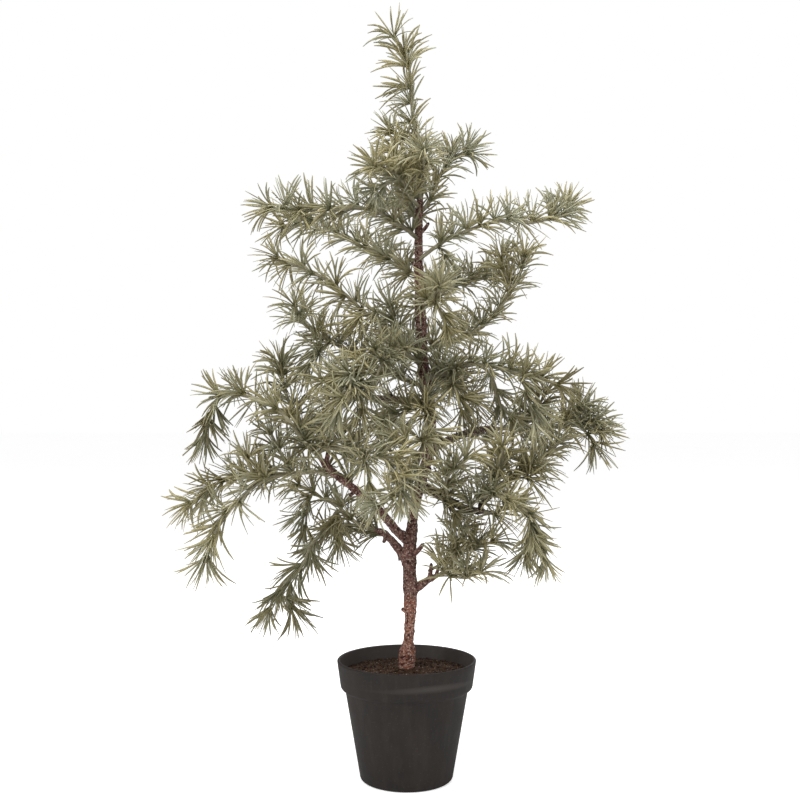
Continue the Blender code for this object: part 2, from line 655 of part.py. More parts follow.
def spray(stem, hinge, room):
    """A moulded stem with tufts of needles. At a bough's end its root is a socket for the bough's wire."""
    twig, path = stem.twig, stem.path
    frames = path.frames(stem.rings)
    rings = []
    if twig.where == "end":
        bore = WIRE_RADIUS + BORE_CLEARANCE
        rings.append((shifted(frames[0], WIRE_END + WIRE_TIP_ROOM), bore, STEM_SIDES))
        rings.append((shifted(frames[0], MOUTH_CHAMFER), bore, STEM_SIDES))
        rings.append((frames[0], max(twig.root * MM, bore + SOCKET_WALL), STEM_SIDES))
    elif twig.stock == "trunk":
        rings += ball_rings(stem, STEM_SIDES)
    else:
        rings.append((frames[0], STEM_ROOT_SHARE * stem.radius(0), STEM_SIDES))
        rings.append((shifted(frames[0], STEM_ROOT_LENGTH), stem.radius(0), STEM_SIDES))
    ahead = len(rings)
    grown = zip(frames[1:], stem.rings[1:])
    rings += [(frame, stem.radius(distance), STEM_SIDES) for frame, distance in grown]
    bm = bmesh.new()
    stretches, cap = skin(bm, rings)
    for number, start in enumerate(stem.tufts):
        along = path.direction(start + TUFT_LENGTH / 2)
        for count, face in enumerate(stretches[ahead + 3 * number]):
            lean = FORWARD_LEAN if (count + number) % 2 else OUTWARD_LEAN
            out = face.calc_center_median() - path.at(start + TUFT_LENGTH / 2)
            out = (out - along * out.dot(along)).normalized()
            needle(bm, face, stem, out, along, lean, room)
    needle(bm, cap, stem, path.direction(path.length), path.direction(path.length), 0.0, room)
    finish_piece(bm, stem.name, needle_finish(stem.name), hinge, smooth_angle=60)


def needle(bm, face, stem, out, along, lean, room):
    """Draws a needle out of a face, leaning clear of its neighbours, and shorter where that isn't enough."""
    root = face.calc_center_median()
    side = out.cross(along).normalized() if lean else Vector((0, 0, 0))
    for share in NEEDLE_SHARES:
        for turn in NEEDLE_TURNS:
            way = out * math.sin(lean) + along * math.cos(lean) + side * turn
            tip = root + way.normalized() * (NEEDLE_LENGTH * share)
            if NEEDLE_LENGTH * share >= SHORTEST_NEEDLE and room.clear(stem.bough, stem.name, root, tip):
                point = bmesh.ops.poke(bm, faces=[face])["verts"][0]
                point.co = tip
                room.add(stem.bough, stem.name, root, tip, NEEDLE_THICKNESS)
                return


# ---- The pot and what stands in it ----

BODY_TOP = POT_HEIGHT - COLLAR_HEIGHT - SHOULDER_HEIGHT
INNER_WALL = (
    (POT_WALL, FOOT_RADIUS - POT_WALL),
    (BODY_TOP, SHOULDER_RADIUS - POT_WALL),
    (POT_HEIGHT - COLLAR_HEIGHT, COLLAR_FOOT_RADIUS - POT_WALL),
    (POT_HEIGHT, RIM_RADIUS - POT_WALL),
)


def inner_radius(height):
    return float(np.interp(height, [h for h, _ in INNER_WALL], [r for _, r in INNER_WALL]))


def arc(centre_radius, centre_height, radius, start, end, steps=4):
    """Points of a profile's rounded corner, by angles in degrees from straight out."""
    angles = np.radians(np.linspace(start, end, steps + 1))
    return [(centre_radius + radius * math.cos(a), centre_height + radius * math.sin(a)) for a in angles]


def make_pot():
    foot = arc(FOOT_RADIUS - FOOT_ROUNDING, FOOT_ROUNDING, FOOT_ROUNDING, -90, 0)
    shoulder = [
        (SHOULDER_RADIUS, BODY_TOP),
        (SHOULDER_RADIUS + 1.2 * MM, BODY_TOP + 0.45 * SHOULDER_HEIGHT),
        (COLLAR_FOOT_RADIUS - 0.5 * MM, BODY_TOP + 0.75 * SHOULDER_HEIGHT),
        (COLLAR_FOOT_RADIUS, BODY_TOP + SHOULDER_HEIGHT),
    ]
    rim = arc(RIM_RADIUS - RIM_ROUNDING, POT_HEIGHT - RIM_ROUNDING, RIM_ROUNDING, 0, 90)
    lip = arc(RIM_RADIUS - POT_WALL + RIM_ROUNDING, POT_HEIGHT - RIM_ROUNDING, RIM_ROUNDING, 90, 180, 2)
    inside = [(radius, height) for height, radius in reversed(INNER_WALL[:-1])]
    turned("pot", [(0, 0), *foot, *shoulder, *rim, *lip, *inside, (0, POT_WALL)], POT_FINISH)


def make_filling():
    """The cement that weighs the pot down, and the soil over it. Both follow the pot's inner wall."""
    bed = POT_HEIGHT - SOIL_BED
    low = POT_WALL + GAP
    bore = ROD_RADIUS + BORE_CLEARANCE
    heights = [low, BODY_TOP, POT_HEIGHT - COLLAR_HEIGHT, bed - GAP]
    heights = sorted({height for height in heights if low <= height <= bed - GAP})
    wall = [(inner_radius(height) - FILLING_CLEARANCE, height) for height in heights]
    turned("ballast", [(0, low), *wall, (bore, bed - GAP), (bore, ROD_SOCKET_FLOOR), (0, ROD_SOCKET_FLOOR)], CEMENT)
    hole = max(trunk_radius(d) for d in np.linspace(0, trunk_distance(POT_HEIGHT), 9)) + 2 * GAP
    edge, top = POT_HEIGHT - SOIL_DROP_AT_WALL, POT_HEIGHT - SOIL_DROP_AT_TRUNK
    edge_radius = inner_radius(edge) - FILLING_CLEARANCE
    mound = [
        (hole + (edge_radius - hole) * share, edge + (top - edge) * (1 - share ** 1.6))
        for share in (1.0, 0.75, 0.5, 0.25, 0.0)
    ]
    turned("soil", [(hole, bed), (inner_radius(bed) - FILLING_CLEARANCE, bed), *mound], SOIL_FINISH)


def make_trunk():
    """Three lengths of bark over one rod, which stands in the ballast."""
    count = round(TRUNK.length / TRUNK_STEP)
    distances = [TRUNK.length * number / count for number in range(count + 1)]
    frames = TRUNK.frames(distances)
    joints = [0, *[round(count * share) for share in TRUNK_JOINTS], count]
    bore = ROD_RADIUS + BORE_CLEARANCE
    for name, first, last in zip(("lower", "middle", "upper"), joints, joints[1:]):
        outer, inner = [], []
        for number in range(first, last + 1):
            lift = GAP if number == first and first > 0 else 0.0
            frame = shifted(frames[number], lift)
            outer.append((frame, trunk_radius(distances[number]), TRUNK_SIDES))
            inner.append((frame, bore, BARK_SIDES))
        inner[0] = (shifted(inner[0][0], MOUTH_CHAMFER), bore, BARK_SIDES)
        inner[-1] = (shifted(inner[-1][0], -MOUTH_CHAMFER), bore, BARK_SIDES)
        bm = bmesh.new()
        skin(bm, outer + inner[::-1], closed=True)
        finish_piece(bm, f"trunk_bark_{name}", BARK)
    bm = bmesh.new()
    foot = Matrix.Translation((0, 0, ROD_SOCKET_FLOOR + GAP))
    rod_frames = [foot, *frames[:-1], shifted(frames[-1], -GAP)]
    skin(bm, [(frame, ROD_RADIUS, BARK_SIDES) for frame in rod_frames])
    finish_piece(bm, "trunk_rod", STEEL)


def make_boughs():
    room = Room()
    fill_room(room)
    for bough in BOUGHS:
        hinge = bpy.data.objects.new(bough.name + "_hinge", None)
        hinge.location = HINGES[bough.name]
        hinge.empty_display_size = 10 * MM
        bpy.context.scene.collection.objects.link(hinge)
        for twig in bough.twigs:
            if twig.kind == "bark":
                bark_bough(STEMS[twig.name], hinge)
            else:
                spray(STEMS[twig.name], hinge, room)


make_pot()
make_filling()
make_trunk()
make_boughs()
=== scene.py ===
"""The looks of an artificial tabletop larch: flocked bark, moulded needle sprays, a matte pot and glued soil.

Everything is in metres, +Z up, +X to the right and +Y to the back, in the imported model's own frame. The
boughs' routes are the ones that the model was built on.
"""

import json
import math
import random
from collections import namedtuple

import bmesh
import bpy
from mathutils import Matrix, Vector, noise

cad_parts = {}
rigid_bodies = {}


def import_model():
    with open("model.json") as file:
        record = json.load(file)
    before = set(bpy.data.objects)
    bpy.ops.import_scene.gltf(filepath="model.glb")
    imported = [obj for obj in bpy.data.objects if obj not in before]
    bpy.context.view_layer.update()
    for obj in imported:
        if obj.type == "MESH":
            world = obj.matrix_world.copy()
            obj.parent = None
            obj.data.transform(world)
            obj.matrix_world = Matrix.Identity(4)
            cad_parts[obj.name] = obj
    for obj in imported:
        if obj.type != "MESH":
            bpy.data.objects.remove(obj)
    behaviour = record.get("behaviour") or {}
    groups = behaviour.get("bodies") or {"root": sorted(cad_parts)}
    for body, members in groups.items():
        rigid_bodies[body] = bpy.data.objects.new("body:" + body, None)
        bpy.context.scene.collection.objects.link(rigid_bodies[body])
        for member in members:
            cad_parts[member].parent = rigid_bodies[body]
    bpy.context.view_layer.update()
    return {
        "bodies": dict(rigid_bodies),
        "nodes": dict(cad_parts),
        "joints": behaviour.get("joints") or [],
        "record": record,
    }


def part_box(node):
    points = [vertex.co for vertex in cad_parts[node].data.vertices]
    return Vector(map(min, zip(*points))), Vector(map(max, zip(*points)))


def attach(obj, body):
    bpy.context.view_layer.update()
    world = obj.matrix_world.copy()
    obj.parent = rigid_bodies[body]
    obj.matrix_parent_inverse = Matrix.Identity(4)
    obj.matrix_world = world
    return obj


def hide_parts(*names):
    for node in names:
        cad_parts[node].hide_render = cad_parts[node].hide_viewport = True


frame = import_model()

MM = 0.001
UP = Vector((0.0, 0.0, 1.0))
GOLDEN_TURN = math.radians(137.5)
NEEDLE_SEED, CRUMB_SEED = 31, 7

# ---- Camera, stage and lights ----

CAMERA_PLACE = (-0.0064, -1.130, 0.3714)
CAMERA_LENS = 51.75  # millimetres, on a sensor this wide:
CAMERA_SENSOR = 36.0
FLOOR_SIZE = 24.0
LIGHTS = (
    # name, place, size, watts, colour
    ("overhead_softbox", (-0.20, -0.45, 1.75), 1.3, 23.0, (1.0, 0.985, 0.96)),
    ("left_softbox", (-1.35, -1.25, 1.00), 1.1, 13.0, (1.0, 0.99, 0.97)),
    ("right_softbox", (1.45, -0.85, 0.90), 1.2, 7.0, (0.97, 0.98, 1.0)),
    ("back_softbox", (0.35, 1.50, 1.20), 1.2, 7.0, (1.0, 1.0, 1.0)),
)
LIGHT_TARGET = Vector((0.0, 0.0, 0.38))
SKY_LIGHT = 0.42
SKY_SEEN = 1.0
FLOOR_GLOW = 0.62  # what the camera sees on top of the floor's own light, so that it fades into the surround


def make_camera():
    lens = bpy.data.cameras.new("front_camera")
    lens.sensor_width = CAMERA_SENSOR
    lens.lens = CAMERA_LENS
    camera = bpy.data.objects.new("front_camera", lens)
    camera.location = CAMERA_PLACE
    camera.rotation_euler = (math.radians(90), 0.0, 0.0)
    bpy.context.scene.collection.objects.link(camera)
    bpy.context.scene.camera = camera


def make_lights():
    for name, place, size, watts, colour in LIGHTS:
        lamp = bpy.data.lights.new(name, "AREA")
        lamp.shape = "DISK"
        lamp.size = size
        lamp.energy = watts
        lamp.color = colour
        holder = bpy.data.objects.new(name, lamp)
        holder.location = place
        holder.rotation_euler = (LIGHT_TARGET - Vector(place)).to_track_quat("-Z", "Y").to_euler()
        bpy.context.scene.collection.objects.link(holder)


# ---- Nodes ----


class Nodes:
    """Adds nodes to a tree. A socket's value is a number, a colour, or another node's output to join."""

    def __init__(self, tree):
        self.tree = tree

    def feed(self, socket, value):
        if isinstance(value, bpy.types.NodeSocket):
            self.tree.links.new(value, socket)
        elif isinstance(value, tuple) and len(value) == 3 and socket.type == "RGBA":
            socket.default_value = (*value, 1.0)
        else:
            socket.default_value = value

    def add(self, kind, settings=None, **sockets):
        node = self.tree.nodes.new(kind)
        for key, value in (settings or {}).items():
            setattr(node, key, value)
        for key, value in sockets.items():
            self.feed(node.inputs[key.replace("_", " ")], value)
        return node

    def mix(self, share, first, second, mode="MIX"):
        """Mixes two colours."""
        node = self.add("ShaderNodeMix", {"data_type": "RGBA", "blend_type": mode}, Factor=share)
        self.feed(node.inputs[6], first)
        self.feed(node.inputs[7], second)
        return node.outputs[2]

    def stretch(self, value, low, high, to_low=0.0, to_high=1.0):
        """Maps a value from one range to another, and keeps it inside the second."""
        return self.add("ShaderNodeMapRange", Value=value, From_Min=low, From_Max=high, To_Min=to_low,
                        To_Max=to_high).outputs["Result"]

    def maths(self, kind, first, second):
        node = self.add("ShaderNodeMath", {"operation": kind})
        self.feed(node.inputs[0], first)
        self.feed(node.inputs[1], second)
        return node.outputs["Value"]

    def times(self, value, share):
        return self.maths("MULTIPLY", value, share)


def make_sky():
    """A plain pale surround, seen brighter than it lights."""
    sky = bpy.data.worlds.new("studio_surround")
    sky.use_nodes = True
    nodes = Nodes(sky.node_tree)
    glow = sky.node_tree.nodes["Background"].inputs
    seen = nodes.add("ShaderNodeLightPath").outputs["Is Camera Ray"]
    nodes.feed(glow["Color"], (1.0, 1.0, 1.0))
    nodes.feed(glow["Strength"], nodes.stretch(seen, 0.0, 1.0, SKY_LIGHT, SKY_SEEN))
    bpy.context.scene.world = sky


def new_group(name, numbers, values):
    """A shader node group that takes a vector and some numbers, and gives some values. Returns its nodes, and
    the sockets that it starts from and ends in."""
    group = bpy.data.node_groups.new(name, "ShaderNodeTree")
    sockets = group.interface
    sockets.new_socket("Vector", in_out="INPUT", socket_type="NodeSocketVector")
    for label, number in numbers.items():
        sockets.new_socket(label, in_out="INPUT", socket_type="NodeSocketFloat").default_value = number
    for label in values:
        sockets.new_socket(label, in_out="OUTPUT", socket_type="NodeSocketFloat")
    return Nodes(group), group.nodes.new("NodeGroupInput").outputs, group.nodes.new("NodeGroupOutput").inputs


def make_blotches():
    """Soft patches a few millimetres to a few centimetres wide."""
    nodes, start, end = new_group("blotches", {"Scale": 60.0, "Low": 0.4, "High": 0.6}, ("Mask",))
    cloud = nodes.add("ShaderNodeTexNoise", Vector=start["Vector"], Scale=start["Scale"], Detail=4.0,
                      Roughness=0.6)
    nodes.feed(end["Mask"], nodes.stretch(cloud.outputs["Fac"], start["Low"], start["High"]))
    return nodes.tree


def make_grit():
    """Grains as of sand or flock: their height, a mask of the few that are pale, and a shade for each."""
    nodes, start, end = new_group("grit", {"Scale": 900.0, "Rarity": 0.75}, ("Height", "Speck", "Shade"))
    cells = nodes.add("ShaderNodeTexVoronoi", Vector=start["Vector"], Scale=start["Scale"]).outputs
    chance = nodes.add("ShaderNodeSeparateColor", Color=cells["Color"]).outputs
    picked = nodes.maths("GREATER_THAN", chance["Red"], start["Rarity"])
    nodes.feed(end["Speck"], nodes.times(picked, nodes.stretch(cells["Distance"], 0.55, 0.25)))
    nodes.feed(end["Height"], nodes.stretch(cells["Distance"], 0.7, 0.0))
    nodes.feed(end["Shade"], chance["Green"])
    return nodes.tree


BLOTCHES = make_blotches()
GRIT = make_grit()


class Finish(Nodes):
    """A material in the making. Its patterns lie on the object's own coordinates."""

    def __init__(self, name):
        self.material = bpy.data.materials.new(name)
        self.material.use_nodes = True
        super().__init__(self.material.node_tree)
        self.where = self.add("ShaderNodeTexCoord").outputs["Object"]

    def squashed(self, share):
        """The coordinates with their heights made smaller, which draws a pattern out upwards."""
        return self.add("ShaderNodeMapping", Vector=self.where, Scale=(1.0, 1.0, share)).outputs["Vector"]

    def height(self):
        return self.add("ShaderNodeSeparateXYZ", Vector=self.where).outputs["Z"]

    def attribute(self, name):
        return self.add("ShaderNodeAttribute", {"attribute_name": name}).outputs["Fac"]

    def blotches(self, scale, low, high, where=None):
        return self.add("ShaderNodeGroup", {"node_tree": BLOTCHES}, Vector=where or self.where, Scale=scale,
                        Low=low, High=high).outputs["Mask"]

    def grit(self, scale, rarity):
        return self.add("ShaderNodeGroup", {"node_tree": GRIT}, Vector=self.where, Scale=scale,
                        Rarity=rarity).outputs

    def noise(self, scale, detail, where=None):
        return self.add("ShaderNodeTexNoise", Vector=where or self.where, Scale=scale,
                        Detail=detail).outputs["Fac"]

    def coats(self, colour, *coats):
        """Lays colours over a colour. Each coat is its mask, the share of it that shows, and its colour."""
        for mask, share, over in coats:
            colour = self.mix(self.times(mask, share), colour, over)
        return colour

    def done(self, colour, bump=None, **sockets):
        """Feeds the shader, and returns the material. A bump is its height, its strength and its depth."""
        shader = self.tree.nodes["Principled BSDF"].inputs
        self.feed(shader["Base Color"], colour)
        for key, value in sockets.items():
            self.feed(shader[key.replace("_", " ")], value)
        if bump:
            height, strength, depth = bump
            raised = self.add("ShaderNodeBump", Height=height, Strength=strength, Distance=depth)
            self.feed(shader["Normal"], raised.outputs["Normal"])
        return self.material


# ---- Materials ----

TONE = "tone"
REACH = "reach"
NEEDLE_LIGHT, NEEDLE_MIDDLE, NEEDLE_DARK = (0.405, 0.386, 0.262), (0.264, 0.245, 0.139), (0.122, 0.106, 0.049)
NEEDLE_ROOT = (0.150, 0.150, 0.050)
NEEDLE_DUST = (0.46, 0.45, 0.36)
COOL_TINT, WARM_TINT = (0.95, 1.00, 1.05), (1.09, 1.02, 0.83)
# Each bark has two shades, and a lighter one that mottles them.
RED_BARK = ((0.110, 0.046, 0.039), (0.200, 0.096, 0.078), (0.360, 0.235, 0.195))
# The grey bark is partly the middle and back boughs' own grey-brown and partly painted shade, which darkens
# those boughs as they lie in shadow.
GREY_BARK_WITH_SHADE = ((0.042, 0.030, 0.023), (0.100, 0.070, 0.052), (0.230, 0.190, 0.145))
LOW_BARK = ((0.270, 0.100, 0.066), (0.400, 0.175, 0.120), (0.560, 0.330, 0.260))
LOW_BARK_TOP, LOW_BARK_END = 0.176, 0.186  # the heights between which the trunk's redder foot fades
# Painted shade, laid in the bark's hollows.
PAINTED_HOLLOW_SHADE = (0.030, 0.012, 0.010)
INNER_REFLECTION_RADII, INNER_REFLECTION_HEIGHTS = (0.0662, 0.0655), (0.098, 0.104)  # between which the painted reflection inside the pot's rim fades in


def needle_material():
    """Moulded needles: each one a shade of its own, olive where it springs from the twig, and dusty."""
    finish = Finish("sage_needles")
    drift = finish.stretch(finish.blotches(22.0, 0.3, 0.7), 0.0, 1.0, -0.18, 0.18)
    shade = finish.maths("ADD", finish.attribute(TONE), drift)
    colour = finish.mix(finish.stretch(shade, 0.0, 0.5), NEEDLE_LIGHT, NEEDLE_MIDDLE)
    colour = finish.mix(finish.stretch(shade, 0.5, 1.0), colour, NEEDLE_DARK)
    colour = finish.mix(finish.stretch(finish.attribute(REACH), 0.0, 0.35, 0.55, 0.0), colour, NEEDLE_ROOT)
    season = finish.mix(finish.blotches(26.0, 0.40, 0.60), COOL_TINT, WARM_TINT)
    colour = finish.mix(1.0, colour, season, "MULTIPLY")
    dust = finish.blotches(700.0, 0.45, 0.75)
    return finish.done(
        finish.coats(colour, (dust, 0.30, NEEDLE_DUST)), (finish.noise(1400.0, 2.0), 0.25, 0.2 * MM),
        Roughness=finish.stretch(dust, 0.0, 1.0, 0.52, 0.75), Specular_IOR_Level=0.35,
    )


def twig_material():
    """The sprays' moulded stems: grey-green, ribbed, with a pale bloom."""
    finish = Finish("moulded_twig")
    colour = finish.mix(finish.blotches(90.0, 0.38, 0.62), (0.300, 0.280, 0.190), (0.185, 0.165, 0.105))
    colour = finish.coats(colour, (finish.grit(900.0, 0.72)["Speck"], 0.6, (0.45, 0.42, 0.34)))
    ribs = finish.noise(600.0, 3.0)
    return finish.done(colour, (ribs, 0.5, 0.6 * MM), Roughness=0.8, Specular_IOR_Level=0.3)


def bark_material(name, shades):
    """Flocked bark: mottled, with painted shade darkening its hollows, and pale grains. Below the lowest
    bough it is the low bark.
    """
    finish = Finish(name)
    patches, mottle = finish.blotches(110.0, 0.42, 0.58), finish.blotches(420.0, 0.47, 0.60)
    # The hollows are sunk by the bump and darkened with painted shade.
    hollows = finish.blotches(330.0, 0.46, 0.36)
    grains, crumbs = finish.grit(720.0, 0.78), finish.grit(480.0, 0.77)
    height = finish.maths("ADD", finish.height(), finish.times(patches, 6 * MM))
    low = finish.stretch(height, LOW_BARK_TOP, LOW_BARK_END, 1.0, 0.0)
    lighter = finish.mix(low, shades[2], LOW_BARK[2])
    pale = finish.mix(low, (0.52, 0.38, 0.32), (0.82, 0.60, 0.50))
    colour = finish.coats(
        finish.mix(low, finish.mix(patches, *shades[:2]), finish.mix(patches, *LOW_BARK[:2])),
        (mottle, 0.62, lighter), (hollows, 0.90, PAINTED_HOLLOW_SHADE), (grains["Speck"], 0.95, pale),
        (crumbs["Speck"], 0.85, pale),
    )
    rough = finish.maths("ADD", grains["Height"], finish.times(crumbs["Height"], 1.6))
    rough = finish.maths("SUBTRACT", rough, finish.times(hollows, 1.2))
    return finish.done(colour, (rough, 1.0, 0.9 * MM), Roughness=0.92, Specular_IOR_Level=0.25)


def stub_tip_material():
    """The cut ends of stubs and buds: dark and dry."""
    finish = Finish("dark_bud")
    colour = finish.mix(finish.blotches(400.0, 0.4, 0.6), (0.030, 0.018, 0.014), (0.085, 0.050, 0.038))
    return finish.done(colour, Roughness=0.85)


def pot_material():
    """Matte black-brown plastic with faint streaks and scuffs, and a painted reflection that lightens the
    inside of its rim.
    """
    finish = Finish("matte_pot")
    clouds = finish.blotches(28.0, 0.36, 0.66)
    streaks = finish.blotches(110.0, 0.46, 0.74, finish.squashed(0.18))
    flat = finish.squashed(0.0)
    off_axis = finish.add("ShaderNodeVectorMath", {"operation": "LENGTH"}, Vector=flat).outputs["Value"]
    # A painted reflection: a lighter colour on the inside of the rim.
    near_rim = finish.stretch(finish.height(), *INNER_REFLECTION_HEIGHTS)
    inside = finish.times(finish.stretch(off_axis, *INNER_REFLECTION_RADII), near_rim)
    colour = finish.coats(
        finish.mix(clouds, (0.0105, 0.0080, 0.0068), (0.0240, 0.0185, 0.0160)),
        (inside, 1.0, (0.068, 0.058, 0.053)), (streaks, 0.35, (0.040, 0.032, 0.028)),
        (finish.grit(700.0, 0.93)["Speck"], 0.08, (0.16, 0.14, 0.125)),
    )
    return finish.done(
        colour, (finish.noise(900.0, 3.0), 0.25, 0.3 * MM),
        Roughness=finish.stretch(clouds, 0.0, 1.0, 0.58, 0.78), Specular_IOR_Level=0.3,
    )


def soil_material(name, first, second, speck_share):
    """Dark crumbly soil with lighter crumbs and pale specks."""
    finish = Finish(name)
    grains = finish.grit(650.0, 0.86)
    colour = finish.coats(
        finish.mix(finish.blotches(130.0, 0.40, 0.60), first, second),
        (grains["Shade"], 0.55, (0.016, 0.010, 0.008)), (grains["Speck"], speck_share, (0.42, 0.33, 0.25)),
    )
    return finish.done(colour, (grains["Height"], 1.0, 1.2 * MM), Roughness=0.95, Specular_IOR_Level=0.2)


def cement_material():
    """Cast cement with darker pits."""
    finish = Finish("grey_cement")
    pits = finish.grit(420.0, 0.9)
    colour = finish.mix(finish.blotches(60.0, 0.35, 0.65), (0.30, 0.29, 0.27), (0.42, 0.41, 0.38))
    colour = finish.coats(colour, (pits["Speck"], 1.0, (0.16, 0.15, 0.14)))
    return finish.done(colour, (pits["Height"], 0.5, 0.8 * MM), Roughness=0.92)


def steel_material():
    """Drawn steel: fine lengthwise streaks and a little tarnish."""
    finish = Finish("drawn_steel")
    streaks = finish.noise(1500.0, 2.0, finish.squashed(0.05))
    colour = finish.mix(finish.blotches(140.0, 0.5, 0.7), (0.47, 0.47, 0.48), (0.30, 0.27, 0.24))
    return finish.done(colour, Roughness=finish.stretch(streaks, 0.3, 0.7, 0.28, 0.50), Metallic=1.0)


def floor_material():
    """A white sweep. Its glow is only for the camera, and lights nothing."""
    finish = Finish("pale_floor")
    seen = finish.add("ShaderNodeLightPath").outputs["Is Camera Ray"]
    return finish.done(
        finish.mix(finish.blotches(1.5, 0.3, 0.7), (0.86, 0.86, 0.86), (0.88, 0.88, 0.88)),
        Roughness=0.9, Specular_IOR_Level=0.1, Emission_Color=(1.0, 1.0, 1.0),
        Emission_Strength=finish.times(seen, FLOOR_GLOW),
    )


# ---- The tree's routes, in millimetres: across, to the back, above the foot, and the trunk's radius ----

TRUNK_ROUTE = (
    (0, 0, 92, 7.0), (0, 0, 108, 8.0), (1, 0, 124, 8.2), (2, 0, 134, 5.0), (3, 0, 149, 5.0), (4, 0, 172, 6.4),
    (3, 0, 195, 6.4), (3, 0, 222, 6.8), (5, 0, 240, 5.4), (7, -1, 262, 4.8), (13, -1, 288, 5.0),
    (21, -2, 317, 5.6), (23, -2, 347, 5.8), (22, -1, 371, 5.8), (18, 0, 391, 5.8), (15, 1, 421, 5.6),
    (14, 1, 450, 5.6), (13, 1, 470, 5.0), (12, 1, 509, 4.2), (12, 0, 538, 3.8), (13, 0, 568, 3.2),
)
RIM_LIFT = 0.3 * MM  # the pot's rim stands this much above the routes' own
GAP = 0.3 * MM  # between the end of a stock and the twig that carries it on
SIDE_GAP = 0.7 * MM
STRAIGHT_START = 12.0 * MM  # a twig that carries on runs straight over the wire's end
PASSED = 3.0 * MM  # and leaves out the places that this brings it past
SQUARE_START = 4.0 * MM  # a twig on the side leaves its stock squarely
LEADER_SUNK = 6.0 * MM
SPAN_STEPS = 12
LOOK_ASIDE = 1.5 * MM  # the half of the distance over which a line's direction is taken
ANY_ACROSS = Vector((0.31, 0.95, 0.05))
